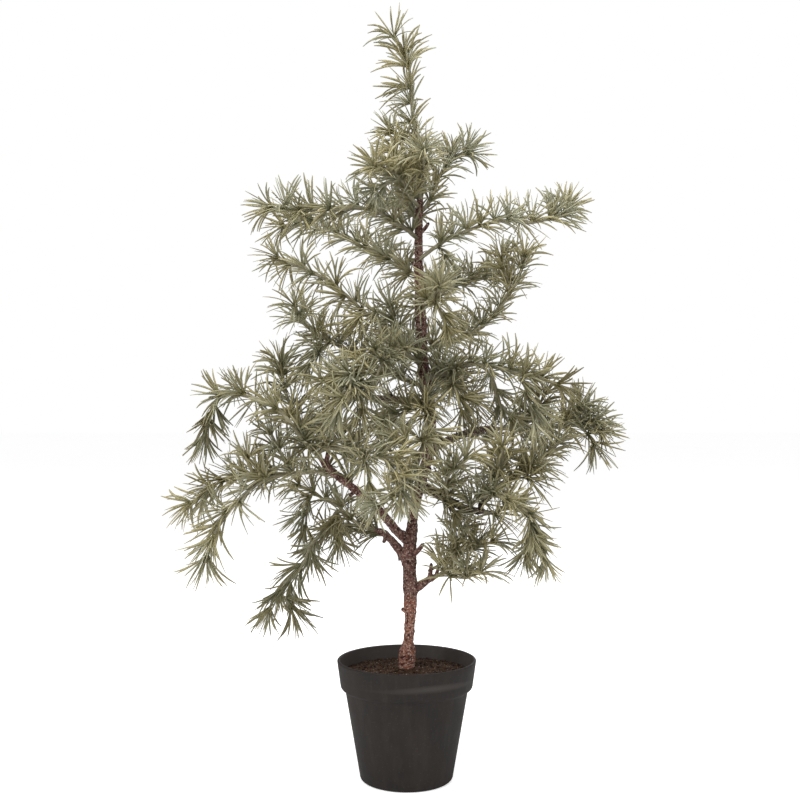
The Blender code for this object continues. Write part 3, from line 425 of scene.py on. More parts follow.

# A twig grows on its stock, and has a radius at its root and one at its tip. A bough's needles have a tone
# and a lift. The tone is partly painted shade: it is higher, and the needles darker, for boughs that lie at
# the back in shadow.
# On the side of a stock, a route's first place only says how far along it the twig grows.
Twig = namedtuple("Twig", "name stock where root tip route")
Bough = namedtuple("Bough", "name tone lift twigs")
BOUGHS = (
    Bough("low_left", 0.50, 0.20, (
        Twig("low_left_bark", "trunk", "side", 4.4, 3.2,
            "3 0 212, -8 7 224, -16 13 233, -24 18 239, -32 21 241"),
        Twig("low_left_tip_spray", "low_left_bark", "end", 2.2, 1.4,
            "-54 21 251, -68 18 260, -78 13 246, -93 5 229, -102 -5 209, -113 -13 198, "
            "-125 -18 186, -131 -21 173"),
        Twig("low_left_top_spray", "low_left_tip_spray", "side", 1.6, 1.2,
            "-66 18 260, -78 26 269, -93 34 276, -108 39 284"),
        Twig("low_left_back_spray", "low_left_bark", "side", 1.8, 1.2,
            "-27 20 239, -47 39 237, -67 50 239, -81 58 232, -93 60 222"),
    )),
    Bough("left", 0.34, 0.75, (
        Twig("left_bark", "trunk", "side", 4.4, 3.4,
            "4 0 233, -8 -10 242, -20 -24 258, -36 -37 276, -53 -47 290, -68 -55 303, -80 -60 316"),
        Twig("left_arch_spray", "left_bark", "end", 2.2, 1.4,
            "-90 -76 328, -98 -92 341, -105 -99 351, -117 -94 363, -135 -81 371, "
            "-155 -68 376, -173 -55 374, -184 -47 362, -190 -42 341"),
        Twig("left_long_spray", "left_bark", "side", 2.0, 1.4,
            "-69 -55 304, -83 -52 304, -102 -52 302, -127 -58 299, -144 -65 289, -160 -73 273, "
            "-172 -78 256, -177 -81 245, -181 -84 231"),
        Twig("left_outer_spray", "left_long_spray", "side", 1.6, 1.2,
            "-134 -60 296, -149 -47 299, -166 -39 298, -181 -34 291, -194 -29 279, -206 -26 273"),
        Twig("left_upright_spray", "left_arch_spray", "side", 1.8, 1.2,
            "-93 -82 333, -97 -65 343, -105 -55 358, -113 -50 376, -117 -47 393"),
        Twig("left_front_spray", "left_arch_spray", "side", 1.8, 1.2,
            "-84 -65 321, -73 -81 328, -55 -97 326, -39 -107 322, -25 -114 320, -13 -118 320"),
    )),
    Bough("back_left", 0.45, 0.35, (
        Twig("back_left_bark", "trunk", "side", 4.4, 3.2,
            "21 0 367, 4 29 369, -12 50 372, -31 71 373, -49 89 378"),
        Twig("back_left_tip_spray", "back_left_bark", "end", 2.0, 1.2,
            "-62 105 380, -76 120 372, -88 131 361, -104 139 349"),
        Twig("back_left_low_spray", "back_left_bark", "side", 1.8, 1.2,
            "-12 50 372, -15 68 360, -20 89 346, -25 105 328"),
    )),
    Bough("low_right", 0.00, 1.10, (
        Twig("low_right_bark", "trunk", "side", 3.8, 3.0, "3 0 185, 14 -5 190, 21 -10 196, 28 -14 200"),
        Twig("low_right_upper_spray", "low_right_bark", "side", 1.8, 1.2,
            "25 -13 198, 32 -16 211, 42 -18 221, 50 -21 233, 54 -24 245"),
        Twig("low_right_tip_spray", "low_right_bark", "end", 2.0, 1.2,
            "40 -24 204, 54 -37 202, 69 -47 208"),
    )),
    Bough("right", 0.40, 0.45, (
        Twig("right_bark", "trunk", "side", 4.4, 3.4,
            "13 0 288, 27 -16 281, 41 -29 275, 56 -39 268, 73 -47 266"),
        Twig("right_tip_spray", "right_bark", "end", 2.2, 1.4,
            "87 -55 269, 101 -63 272, 112 -68 267, 120 -71 255, 125 -72 243, 127 -73 228"),
        Twig("right_fork_bark", "right_bark", "side", 3.0, 2.6,
            "69 -46 267, 79 -39 280, 91 -37 291, 103 -34 299, 115 -31 306"),
        Twig("right_fork_spray", "right_fork_bark", "end", 1.9, 1.2,
            "126 -26 311, 137 -18 319, 147 -10 328"),
        Twig("right_front_spray", "right_bark", "side", 1.8, 1.2,
            "44 -31 274, 38 -50 283, 36 -65 296, 43 -76 307, 53 -81 317"),
    )),
    Bough("back_right", 0.70, 0.45, (
        Twig("back_right_bark", "trunk", "side", 4.6, 3.4,
            "21 0 322, 36 24 328, 53 42 334, 74 60 340, 95 71 341"),
        Twig("back_right_tip_spray", "back_right_bark", "end", 2.2, 1.4,
            "115 68 339, 133 60 341, 150 50 343, 162 39 345, 175 29 347, 188 21 347"),
        Twig("back_right_low_spray", "back_right_bark", "side", 1.8, 1.2,
            "75 60 340, 83 81 327, 90 94 310, 93 102 292"),
        Twig("back_right_top_spray", "back_right_tip_spray", "side", 1.6, 1.2,
            "122 65 340, 130 58 350, 135 50 362, 140 42 375"),
    )),
    Bough("middle_right", 0.45, 0.45, (
        Twig("middle_right_spray", "trunk", "side", 2.6, 1.4,
            "19 -1 392, 37 -21 397, 52 -31 403, 68 -39 405, 84 -47 402, 101 -55 397, 123 -60 391, "
            "138 -63 386"),
        Twig("middle_right_low_spray", "middle_right_spray", "side", 1.6, 1.2,
            "107 -55 395, 109 -71 383, 112 -81 368, 115 -86 353"),
    )),
    Bough("upper_right", 0.20, 0.35, (
        Twig("upper_right_spray", "trunk", "side", 2.4, 1.4,
            "15 1 419, 31 18 425, 49 29 432, 66 37 439, 79 42 447, 90 44 459, 100 44 472, 109 44 485, "
            "116 44 499, 120 42 516"),
    )),
    Bough("back_upper_right", 0.45, 0.50, (
        Twig("back_upper_right_spray", "trunk", "side", 2.2, 1.2,
            "13 1 476, 30 34 482, 45 55 486, 58 73 493, 74 89 499, 90 99 503"),
    )),
    Bough("back_middle", 0.70, 0.45, (
        Twig("back_middle_spray", "trunk", "side", 2.2, 1.2,
            "19 0 385, 31 42 387, 46 68 385, 60 92 381, 74 110 369"),
    )),
    Bough("top_right", 0.15, 0.50, (
        Twig("top_right_spray", "trunk", "side", 2.2, 1.3,
            "12 0 510, 25 -18 517, 35 -26 523, 48 -31 529, 57 -34 532, 71 -37 537, 88 -37 541, "
            "102 -37 541, 117 -34 540, 132 -31 543, 148 -29 547"),
    )),
    Bough("front", 0.25, 0.30, (
        Twig("front_spray", "trunk", "side", 2.2, 1.3,
            "22 -1 373, 18 -34 370, 18 -63 356, 16 -84 336, 12 -97 321, 7 -107 307, 1 -118 294, "
            "-10 -127 287, -24 -132 281"),
    )),
    Bough("front_left", 0.28, 0.35, (
        Twig("front_left_spray", "trunk", "side", 2.4, 1.4,
            "16 0 405, 2 -26 414, -6 -39 418, -21 -55 419, -31 -65 414, -41 -76 403, -52 -86 395, "
            "-62 -97 390, -74 -105 388"),
    )),
    Bough("middle_left", 0.38, 0.10, (
        Twig("middle_left_spray", "trunk", "side", 2.4, 1.3,
            "19 0 384, -2 -5 391, -26 -10 402, -50 -18 415, -74 -29 428, -90 -42 437, -100 -55 447, "
            "-103 -73 457"),
    )),
    Bough("upper_left", 0.25, 0.10, (
        Twig("upper_left_spray", "trunk", "side", 2.4, 1.3,
            "15 1 421, -6 18 431, -26 29 447, -49 37 466, -68 42 484, -84 44 495, -98 47 502, "
            "-118 50 511, -131 52 518"),
        Twig("upper_left_front_spray", "upper_left_spray", "side", 1.6, 1.2,
            "-10 21 434, -12 3 443, -20 -16 451, -30 -31 454, -42 -44 451"),
    )),
    Bough("back_top_left", 0.20, 0.30, (
        Twig("back_top_left_spray", "trunk", "side", 2.2, 1.2,
            "13 1 492, -7 29 505, -17 42 513, -33 58 524, -52 73 534, -74 89 548, -94 99 553"),
    )),
    Bough("top_left", 0.34, 0.15, (
        Twig("top_left_spray", "trunk", "side", 2.2, 1.3,
            "12 0 528, -1 -16 537, -16 -26 543, -30 -34 552, -49 -39 553, -65 -43 551, -83 -48 550, "
            "-103 -51 549, -125 -54 551"),
        Twig("top_left_low_spray", "top_left_spray", "side", 1.4, 1.1,
            "-77 -47 550, -87 -31 543, -102 -21 540, -118 -13 540"),
    )),
    Bough("crown_left", 0.12, 0.70, (
        Twig("crown_left_spray", "trunk", "side", 1.9, 1.2,
            "13 0 560, 3 -16 569, -4 -31 580, -14 -44 586, -29 -58 587"),
    )),
    Bough("crown_right", 0.22, 0.40, (
        Twig("crown_right_spray", "trunk", "side", 1.9, 1.2,
            "13 0 552, 26 16 575, 33 24 595, 43 31 613, 58 39 623"),
    )),
    Bough("leader", 0.22, 0.20, (
        Twig("leader_spray", "trunk", "top", 2.2, 1.3,
            "13 0 568, 12 -1 585, 11 -3 602, 11 -4 625, 9 -4 634, 6 -5 651, 5 -5 670, 4 -5 688, "
            "0 -4 703, -5 -4 714, -12 -3 726"),
    )),
)

# Twigs too small to have a solid of their own in the model: name, body, tone (partly painted shade, as a
# bough's is), root radius, route.
SMALL_TWIGS = (
    ("crown_front_twig", "leader", 0.15, 1.5, "12 -5 585, 15 -29 590, 16 -52 596, 16 -71 601"),
    ("crown_back_twig", "base", 0.40, 1.5, "12 3 547, 6 26 558, -2 50 570, -11 71 578"),
    ("front_right_twig", "base", 0.30, 1.6, "14 -4 460, 19 -29 463, 26 -52 468, 30 -73 474"),
    ("front_left_hanging_twig", "front_left", 0.35, 1.5,
        "-50 -86 396, -50 -102 386, -54 -112 375, -60 -120 362"),
    ("left_crest_twig", "left", 0.40, 1.6,
        "-53 -47 290, -52 -39 305, -54 -34 319, -60 -31 333, -72 -29 347"),
    ("right_outer_twig", "right", 0.40, 1.5, "58 -39 267, 68 -58 280, 79 -71 284, 90 -81 281"),
    ("middle_right_hanging_twig", "middle_right", 0.45, 1.5,
        "80 -44 402, 83 -34 387, 87 -26 371, 98 -21 358"),
    ("crown_front_left_twig", "leader", 0.25, 1.4, "12 -3 586, 5 -12 596, -3 -18 603, -10 -22 609"),
    ("middle_left_hanging_twig", "middle_left", 0.45, 1.5,
        "-71 -28 427, -76 -42 423, -83 -53 415, -90 -61 405"),
    ("right_fork_front_twig", "right", 0.45, 1.6, "84 -38 286, 86 -50 300, 88 -60 314, 88 -68 327"),
    ("low_right_outer_twig", "low_right", 0.10, 1.4, "42 -18 222, 56 -26 226, 69 -33 231, 80 -38 236"),
    ("front_low_twig", "front", 0.45, 1.5, "18 -44 367, 6 -54 362, -8 -62 357, -20 -68 353"),
    ("front_left_low_twig", "front_left", 0.40, 1.5, "-21 -55 419, -22 -67 408, -27 -78 396, -33 -87 385"),
    ("left_front_hanging_twig", "left", 0.20, 1.4, "-20 -116 320, -16 -120 311, -11 -122 302, -7 -123 294"),
    ("left_upright_tip_twig", "left", 0.40, 1.3, "-117 -47 388, -116 -49 394, -117 -51 399, -118 -52 403"),
    ("left_inner_twig", "left", 0.40, 1.5, "-108 -53 302, -114 -52 312, -120 -50 325, -127 -49 338"),
    ("left_middle_twig", "left", 0.42, 1.5, "-138 -61 292, -142 -60 300, -146 -60 308, -148 -60 316"),
    ("middle_right_low_twig", "middle_right", 0.50, 1.4, "40 -24 399, 44 -36 386, 48 -44 374, 51 -49 363"),
    ("right_fork_low_twig", "right", 0.48, 1.4, "104 -35 299, 110 -42 303, 116 -48 306, 122 -53 308"),
    ("right_tip_under_twig", "right", 0.30, 1.3, "112 -68 266, 112 -72 256, 111 -74 246, 109 -75 236"),
    ("low_right_under_twig", "low_right", 0.15, 1.3, "38 -23 204, 44 -31 202, 50 -37 203, 55 -40 207"),
    ("right_root_twig", "right", 0.45, 1.4, "30 -18 280, 33 -27 277, 38 -35 272, 44 -41 266"),
    ("low_left_tip_twig", "low_left", 0.45, 1.2, "-124 -18 186, -120 -21 182, -116 -23 178, -112 -25 173"),
    ("low_left_under_twig", "low_left", 0.50, 1.3, "-71 16 256, -70 18 248, -69 19 240, -68 20 234"),
    ("front_middle_twig", "front", 0.30, 1.5, "16 -85 335, 8 -92 334, 0 -98 333, -8 -102 333"),
    ("front_left_middle_twig", "front_left", 0.35, 1.5,
        "-41 -77 401, -42 -86 390, -42 -94 378, -41 -100 366"),
    ("left_front_root_twig", "left", 0.20, 1.4, "-38 -107 321, -37 -112 314, -35 -115 307, -34 -116 301"),
    ("low_left_hanging_twig", "low_left", 0.50, 1.3, "-95 34 277, -99 36 267, -101 37 256, -102 38 246"),
    ("back_right_under_twig", "back_right", 0.40, 1.3, "170 31 346, 176 22 342, 181 14 336, 184 8 330"),
    ("right_fork_under_twig", "right", 0.40, 1.3, "98 -36 294, 103 -42 297, 108 -48 298, 112 -53 298"),
    ("crown_left_low_twig", "crown_left", 0.25, 1.2, "-6 -34 582, -14 -40 578, -22 -46 573, -28 -50 569"),
    ("crown_high_left_twig", "leader", 0.20, 1.2, "10 -4 612, 2 -9 620, -6 -12 626, -13 -14 630"),
    ("upper_right_inner_twig", "upper_right", 0.30, 1.2, "108 44 484, 103 46 495, 100 47 506, 98 48 515"),
    ("upper_left_root_twig", "upper_left", 0.25, 1.3, "-8 12 437, -10 2 446, -13 -6 454, -16 -12 461"),
    ("back_right_outer_twig", "back_right", 0.45, 1.3, "176 29 347, 182 21 346, 187 14 344, 191 8 341"),
    ("back_right_upper_twig", "back_right", 0.45, 1.3, "160 40 345, 165 33 350, 170 27 356, 174 22 362"),
    ("crown_right_twig", "crown_right", 0.30, 1.2, "44 32 613, 50 33 616, 56 32 618, 60 31 619"),
    ("top_right_tip_twig", "top_right", 0.15, 1.2, "138 -30 544, 143 -28 548, 148 -26 551, 152 -25 554"),
    ("top_right_root_twig", "top_right", 0.20, 1.2, "30 -22 520, 31 -28 517, 33 -34 513, 35 -39 509"),
    ("front_right_low_twig", "base", 0.35, 1.4, "25 -47 467, 30 -55 458, 33 -61 449, 36 -65 441"),
)


# ---- Curves ----


def smooth_route(points):
    """Close samples along a smooth curve through the points (a Catmull-Rom spline)."""
    ends = [points[0] * 2 - points[1], *points, points[-1] * 2 - points[-2]]
    samples = []
    for before, start, end, after in zip(ends, ends[1:], ends[2:], ends[3:]):
        for step in range(SPAN_STEPS):
            t = step / SPAN_STEPS
            samples.append(
                0.5 * (2 * start + (end - before) * t + (2 * before - 5 * start + 4 * end - after) * t * t
                       + (3 * start - before - 3 * end + after) * t ** 3)
            )
    return samples + [points[-1]]


class Path:
    """A smooth centre line, with a place and a direction at each distance along it."""

    def __init__(self, points):
        self.samples = smooth_route(points)
        self.lengths = [0.0]
        for one, other in zip(self.samples, self.samples[1:]):
            self.lengths.append(self.lengths[-1] + (other - one).length)
        self.length = self.lengths[-1]

    def at(self, distance):
        """The place this far along. Before the start and past the end, the line runs straight on."""
        if distance <= 0.0:
            return self.samples[0] + (self.samples[1] - self.samples[0]).normalized() * distance
        if distance >= self.length:
            along = (self.samples[-1] - self.samples[-2]).normalized()
            return self.samples[-1] + along * (distance - self.length)
        index = next(number for number, length in enumerate(self.lengths) if length > distance) - 1
        share = (distance - self.lengths[index]) / (self.lengths[index + 1] - self.lengths[index])
        return self.samples[index].lerp(self.samples[index + 1], share)

    def direction(self, distance):
        return (self.at(distance + LOOK_ASIDE) - self.at(distance - LOOK_ASIDE)).normalized()

    def frames(self, distances):
        """A matrix at each distance. Its Z runs along the line, and its X and Y turn only as that does."""
        made, across = [], None
        for distance in distances:
            along = self.direction(distance)
            if across is None:
                across = along.cross(ANY_ACROSS).normalized()
            across = square_to(along, across).normalized()
            matrix = Matrix((across, along.cross(across), along)).transposed().to_4x4()
            matrix.translation = self.at(distance)
            made.append(matrix)
        return made

    def nearest(self, point):
        """How far along the line its nearest place to the point is."""
        number = min(range(len(self.samples)), key=lambda n: (self.samples[n] - point).length)
        return self.lengths[number]


def place(across, back, up):
    return Vector((across * MM, back * MM, up * MM + RIM_LIFT))


def route(text):
    return [place(*map(int, point.split())) for point in text.split(",")]


def spaced(start, end, step, fewest=1):
    """Evenly spaced distances from start to end, both among them, about a step apart."""
    count = max(fewest, round((end - start) / step))
    return [start + (end - start) * number / count for number in range(count + 1)]


def is_bark(twig):
    return twig.name.endswith("_bark")


TRUNK = Path([place(*point[:3]) for point in TRUNK_ROUTE])
TRUNK_MARKS = [(TRUNK.nearest(place(*point[:3])), point[3] * MM) for point in TRUNK_ROUTE]


def trunk_radius(distance):
    if distance <= TRUNK_MARKS[0][0]:
        return TRUNK_MARKS[0][1]
    for (low, first), (high, second) in zip(TRUNK_MARKS, TRUNK_MARKS[1:]):
        if distance <= high:
            return first + (second - first) * (distance - low) / (high - low)
    return TRUNK_MARKS[-1][1]


def trunk_distance(height):
    return min(TRUNK.lengths, key=lambda distance: abs(TRUNK.at(distance).z - height))


def square_to(along, wanted):
    """The part of a wanted direction that is square to a twig."""
    return wanted - along * wanted.dot(along)


class Stem:
    """A twig where it stands: its centre line, and its radius at each distance."""

    def __init__(self, twig, points):
        self.twig, self.path = twig, Path(points)

    def radius(self, distance):
        share = min(max(distance / self.path.length, 0.0), 1.0)
        return (self.twig.root + (self.twig.tip - self.twig.root) * share) * MM


def stem_on_trunk(twig):
    """A bough's first twig, from the middle of the trunk."""
    first, *rest = route(twig.route)
    if twig.where == "top":
        return Stem(twig, [TRUNK.at(TRUNK.length - LEADER_SUNK), first, *rest])
    return Stem(twig, [TRUNK.at(trunk_distance(first.z)), *rest])


def stem_on_end(twig, stock):
    """A twig that carries on from the end of its stock, straight at first."""
    end, along = stock.path.at(stock.path.length), stock.path.direction(stock.path.length)
    start = end + along * GAP
    straight = start + along * STRAIGHT_START
    rest = route(twig.route)
    ahead = [point for point in rest if (point - straight).dot(along) > PASSED or point is rest[-1]]
    return Stem(twig, [start, start.lerp(straight, 0.5), straight, *ahead])


def stem_on_side(twig, stock):
    """A twig that leaves its stock's side squarely, then bends to its route."""
    first, *rest = route(twig.route)
    distance = stock.path.nearest(first)
    middle, along = stock.path.at(distance), stock.path.direction(distance)
    away = square_to(along, rest[0] - middle).normalized()
    face = stock.radius(distance) + SIDE_GAP
    return Stem(twig, [middle + away * face, middle + away * (face + SQUARE_START), *rest])


STEMS = {}
for bough in BOUGHS:
    for twig in bough.twigs:
        if twig.stock == "trunk":
            STEMS[twig.name] = stem_on_trunk(twig)
        else:
            grown = stem_on_end if twig.where == "end" else stem_on_side
            STEMS[twig.name] = grown(twig, STEMS[twig.stock])


# ---- Mesh work ----


def tube(bm, rings, sides):
    """A closed tube over rings, each a matrix that turns a circle of radius 1 into it. Returns the rings'
    vertices."""
    made = bmesh.ops.create_circle(bm, segments=sides, radius=1.0, matrix=rings[0], cap_ends=True)
    verts = made["verts"]
    loops = [verts]
    edges = list({edge for vert in verts for edge in vert.link_edges})
    for before, ring in zip(rings, rings[1:]):
        grown = bmesh.ops.extrude_edge_only(bm, edges=edges)["geom"]
        verts = [item for item in grown if isinstance(item, bmesh.types.BMVert)]
        edges = [item for item in grown if isinstance(item, bmesh.types.BMEdge)]
        bmesh.ops.transform(bm, matrix=ring @ before.inverted(), verts=verts)
        loops.append(verts)
    bmesh.ops.edgeloop_fill(bm, edges=edges)
    return loops


def sized(frame, across, through=None):
    """A ring's matrix from a frame and its radius, or its two radii."""
    return frame @ Matrix.Diagonal((across, through or across, 1.0, 1.0))


def finish_mesh(bm, name, *finishes):
    """Makes the bmesh a smooth-shaded piece with its materials."""
    bmesh.ops.recalc_face_normals(bm, faces=bm.faces)
    mesh = bpy.data.meshes.new(name)
    bm.to_mesh(mesh)
    bm.free()
    mesh.shade_smooth()
    for finish in finishes:
        mesh.materials.append(finish)
    piece = bpy.data.objects.new(name, mesh)
    bpy.context.scene.collection.objects.link(piece)
    return piece


def turned(bm, profile, steps):
    """A round body turned about the Z axis from a profile of (radius, height) whose ends lie on the axis."""
    points = [bm.verts.new((radius, 0.0, height)) for radius, height in profile]
    edges = [bm.edges.new(pair) for pair in zip(points, points[1:])]
    bmesh.ops.spin(
        bm, geom=points + edges, cent=(0, 0, 0), axis=(0, 0, 1), angle=math.tau, steps=steps,
        use_merge=True, use_duplicate=False,
    )
    bmesh.ops.remove_doubles(bm, verts=bm.verts, dist=1e-6)


def push_out(verts, middle, depth):
    """Moves points out from a middle by a depth that depends on where they are."""
    for vert in verts:
        vert.co += (vert.co - middle).normalized() * depth(vert.co)


# ---- Pot and soil ----

POT_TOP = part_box("pot")[1].z
RIM_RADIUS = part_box("pot")[1].x
COLLAR_HEIGHT = 25.6 * MM
COLLAR_FOOT_RADIUS = 64.7 * MM
SHOULDER_RADIUS = 59.8 * MM
SHOULDER_HEIGHT = 5.7 * MM
FOOT_RADIUS = 45.8 * MM
FOOT_ROUNDING = 4.5 * MM
RIM_ROUNDING = 1.3 * MM
POT_WALL = 2.8 * MM
SOIL_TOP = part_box("soil")[1].z
SOIL_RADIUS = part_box("soil")[1].x + 0.2 * MM
SOIL_EDGE = POT_TOP - 13.5 * MM
SOIL_DEPTH = 6 * MM
POT_SIDES, POT_BAND = 128, 9 * MM
SOIL_SIDES, SOIL_RINGS = 168, 46
# name, count, smallest and largest before their sizes are spread, in millimetres
CRUMBS = (("soil_crumbs", 900, 0.45, 1.5), ("pale_grit", 190, 0.40, 1.00))


def arc(centre_radius, centre_height, radius, start, end, steps):
    """Points of a rounded corner, by angles in degrees from straight out."""
    made = []
    for number in range(steps + 1):
        angle = math.radians(start + (end - start) * number / steps)
        made.append((centre_radius + radius * math.cos(angle), centre_height + radius * math.sin(angle)))
    return made


def subdivided(points, step):
    """The same outline with a point at least every step."""
    made = []
    for (r1, h1), (r2, h2) in zip(points, points[1:]):
        count = max(1, math.ceil(math.hypot(r2 - r1, h2 - h1) / step))
        made += [(r1 + (r2 - r1) * n / count, h1 + (h2 - h1) * n / count) for n in range(count)]
    return made + [points[-1]]


def make_pot(finish):
    body_top = POT_TOP - COLLAR_HEIGHT - SHOULDER_HEIGHT
    foot = arc(FOOT_RADIUS - FOOT_ROUNDING, FOOT_ROUNDING, FOOT_ROUNDING, -90, 0, 8)
    shoulder = [
        (radius, body_top + share * SHOULDER_HEIGHT)
        for radius, share in (
            (SHOULDER_RADIUS, 0.0), (SHOULDER_RADIUS + 0.5 * MM, 0.25), (SHOULDER_RADIUS + 1.5 * MM, 0.50),
            (COLLAR_FOOT_RADIUS - 0.9 * MM, 0.75), (COLLAR_FOOT_RADIUS - 0.3 * MM, 0.92),
            (COLLAR_FOOT_RADIUS, 1.1),
        )
    ]
    rim = arc(RIM_RADIUS - RIM_ROUNDING, POT_TOP - RIM_ROUNDING, RIM_ROUNDING, 0, 90, 5)
    lip = arc(RIM_RADIUS - POT_WALL + RIM_ROUNDING, POT_TOP - RIM_ROUNDING, RIM_ROUNDING, 90, 180, 5)
    inside = [
        (COLLAR_FOOT_RADIUS - POT_WALL, POT_TOP - COLLAR_HEIGHT),
        (SHOULDER_RADIUS - POT_WALL, body_top),
        (FOOT_RADIUS - POT_WALL, POT_WALL),
    ]
    outline = [(0.0, 0.0), *foot, *shoulder, *rim, *lip, *inside, (0.0, POT_WALL)]
    bm = bmesh.new()
    turned(bm, subdivided(outline, POT_BAND), POT_SIDES)
    for vert in bm.verts:  # the thin wall isn't quite round
        around = math.atan2(vert.co.y, vert.co.x)
        give = 0.35 * MM * math.sin(2 * around + 0.6) + 0.2 * MM * math.sin(3 * around + 2.0)
        give *= min(vert.co.z / POT_TOP, 1.0)
        out = Vector((vert.co.x, vert.co.y, 0.0))
        if out.length > 1 * MM:
            vert.co += out.normalized() * give
    piece = finish_mesh(bm, "moulded_pot", finish)
    piece.data.set_sharp_from_angle(angle=math.radians(50))
    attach(piece, "base")
    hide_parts("pot")


def soil_height(x, y):
    """The soil's top: a low mound that is lumpy, and a little scooped out round the trunk."""
    share = min(math.hypot(x, y) / SOIL_RADIUS, 1.0)
    height = SOIL_EDGE + (SOIL_TOP - SOIL_EDGE) * (1 - share ** 1.6)
    spot = Vector((x, y, 0.0))
    height += 0.9 * MM * noise.noise(spot * 90.0) + 0.45 * MM * noise.noise(spot * 320.0)
    height += 0.30 * MM * noise.noise(spot * 900.0)
    return height


def make_soil(earth, *crumb_finishes):
    top = [(SOIL_RADIUS * (1 - number / SOIL_RINGS), SOIL_EDGE) for number in range(SOIL_RINGS + 1)]
    low = SOIL_EDGE - SOIL_DEPTH
    bm = bmesh.new()
    turned(bm, [(0.0, low), (SOIL_RADIUS, low), *top], SOIL_SIDES)
    for vert in bm.verts:
        if vert.co.z > SOIL_EDGE - 1 * MM:
            vert.co.z = soil_height(vert.co.x, vert.co.y)
    bed = finish_mesh(bm, "glued_soil", earth)
    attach(bed, "base")
    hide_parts("soil")
    draw = random.Random(CRUMB_SEED)
    for (name, count, small, large), finish in zip(CRUMBS, crumb_finishes):
        bm = bmesh.new()
        for _ in range(count):
            radius = (SOIL_RADIUS - 2 * MM) * math.sqrt(draw.uniform(0.03, 1.0))
            around = draw.uniform(0, math.tau)
            x, y = radius * math.cos(around), radius * math.sin(around)
            size = draw.uniform(small, large) ** 1.5 * MM
            turn = draw.uniform(0, math.tau)
            tumbled = Matrix.Rotation(turn, 4, Vector((draw.random(), draw.random(), 1.0)))
            width, thickness = size * draw.uniform(0.6, 1.0), size * draw.uniform(0.45, 0.8)
            squat = Matrix.Diagonal((size, width, thickness, 1.0))
            spot = Matrix.Translation((x, y, soil_height(x, y) + 0.25 * size))
            bmesh.ops.create_icosphere(bm, subdivisions=1, radius=1.0, matrix=spot @ tumbled @ squat)
        piece = finish_mesh(bm, name, finish)
        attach(piece, "base")


# ---- Trunk and bark ----

BARK_STEP = 1.5 * MM
TRUNK_SIDES, BARK_SIDES = 44, 26
FORK_SUNK = 3.0 * MM
STUB_STEPS, STUB_SIDES = 9, 12
STUB_BOW = Vector((0.4, 0.3, -0.5)) * MM
# The boughs with the red bark. The rest take the grey bark, which is darkened with painted shade.
RED_BOUGHS = ("left", "low_left", "low_right")
THICK_ROOT = 3.0  # in millimetres: a root over this swells the trunk's bark round it

# Stubs and knobs on the bark: body, foot, tip, foot radius, tip radius, in millimetres.
STUBS = (
    ("base", (6, -3, 219), (17, -5, 231), 2.9, 1.7),
    ("base", (14, 0, 536), (22, -3, 545), 2.2, 1.7),
    ("base", (2, 2, 163), (-5, 0, 166), 3.2, 1.6),
    ("base", (15, -3, 300), (24, -8, 305), 2.6, 1.4),
    ("base", (21, -4, 352), (27, -10, 357), 2.4, 1.5),
    ("base", (11, -2, 500), (5, -7, 506), 2.0, 1.2),
    ("low_left", (-21, 16, 236), (-23, 14, 229), 2.6, 1.6),
    ("left", (-24, -29, 262), (-18, -31, 268), 2.4, 1.7),
    ("left", (-76, -58, 311), (-73, -60, 325), 2.8, 1.8),
    ("left", (-49, -45, 287), (-54, -52, 281), 2.3, 1.4),
    ("low_right", (22, -11, 197), (24, -15, 213), 2.5, 1.7),
    ("low_right", (28, -14, 200), (32, -10, 213), 2.0, 1.3),
    ("back_right", (34, 24, 328), (33, 21, 337), 3.0, 2.2),
    ("right", (44, -32, 273), (41, -36, 266), 2.4, 1.5),
    ("back_left", (-14, 52, 372), (-17, 48, 380), 2.3, 1.4),
)


def stub_crust(spot):
    lump = noise.noise(spot * 130.0) + 0.5 * noise.noise(spot * 310.0)
    return 0.25 * MM * lump + 0.15 * MM * noise.noise(spot * 1150.0)


def make_stub(bm, foot, tip, foot_radius, tip_radius):
    """A short snapped twig with a rounded dark tip. Its tip's faces take the second material."""
    foot, tip = place(*foot), place(*tip)
    path = Path([foot, foot.lerp(tip, 0.5) + STUB_BOW, tip])
    rings = []
    for number, ring_frame in enumerate(path.frames(spaced(0.0, path.length, path.length / STUB_STEPS))):
        radius = foot_radius + (tip_radius - foot_radius) * number / STUB_STEPS
        rings.append(sized(ring_frame, radius * MM * (0.45 if number == STUB_STEPS else 1.0)))
    before = set(bm.faces)
    loops = tube(bm, rings, STUB_SIDES)
    for loop in loops:
        for vert in loop:
            push_out([vert], path.at(path.nearest(vert.co)), stub_crust)
    dark = set(loops[-1]) | set(loops[-2])
    for face in set(bm.faces) - before:
        if all(vert in dark for vert in face.verts):
            face.material_index = 1


def crust(spot):
    """How far the flock stands out at a place: soft lumps, knobs a few millimetres wide, and grains."""
    lump = noise.noise(spot * 120.0) + 0.6 * noise.noise(spot * 280.0)
    knob = max(noise.noise(spot * 430.0), 0.0)
    return 0.60 * MM * lump + 0.95 * MM * knob + 0.30 * MM * noise.noise(spot * 1100.0) - 0.15 * MM


def swelling(spot, roots):
    """How far the trunk's bark swells out at a place, round the roots of its boughs."""
    nearest = min((spot - root).length for root in roots)
    return 2.4 * MM * math.exp(-(nearest / (7.0 * MM)) ** 2)


def trunk_face(stem):
    """How far along a bough the trunk's own surface is."""
    return trunk_radius(TRUNK.nearest(stem.path.at(0.0)))


def add_stubs(bm, body):
    for stub_body, *stub in STUBS:
        if stub_body == body:
            make_stub(bm, *stub)


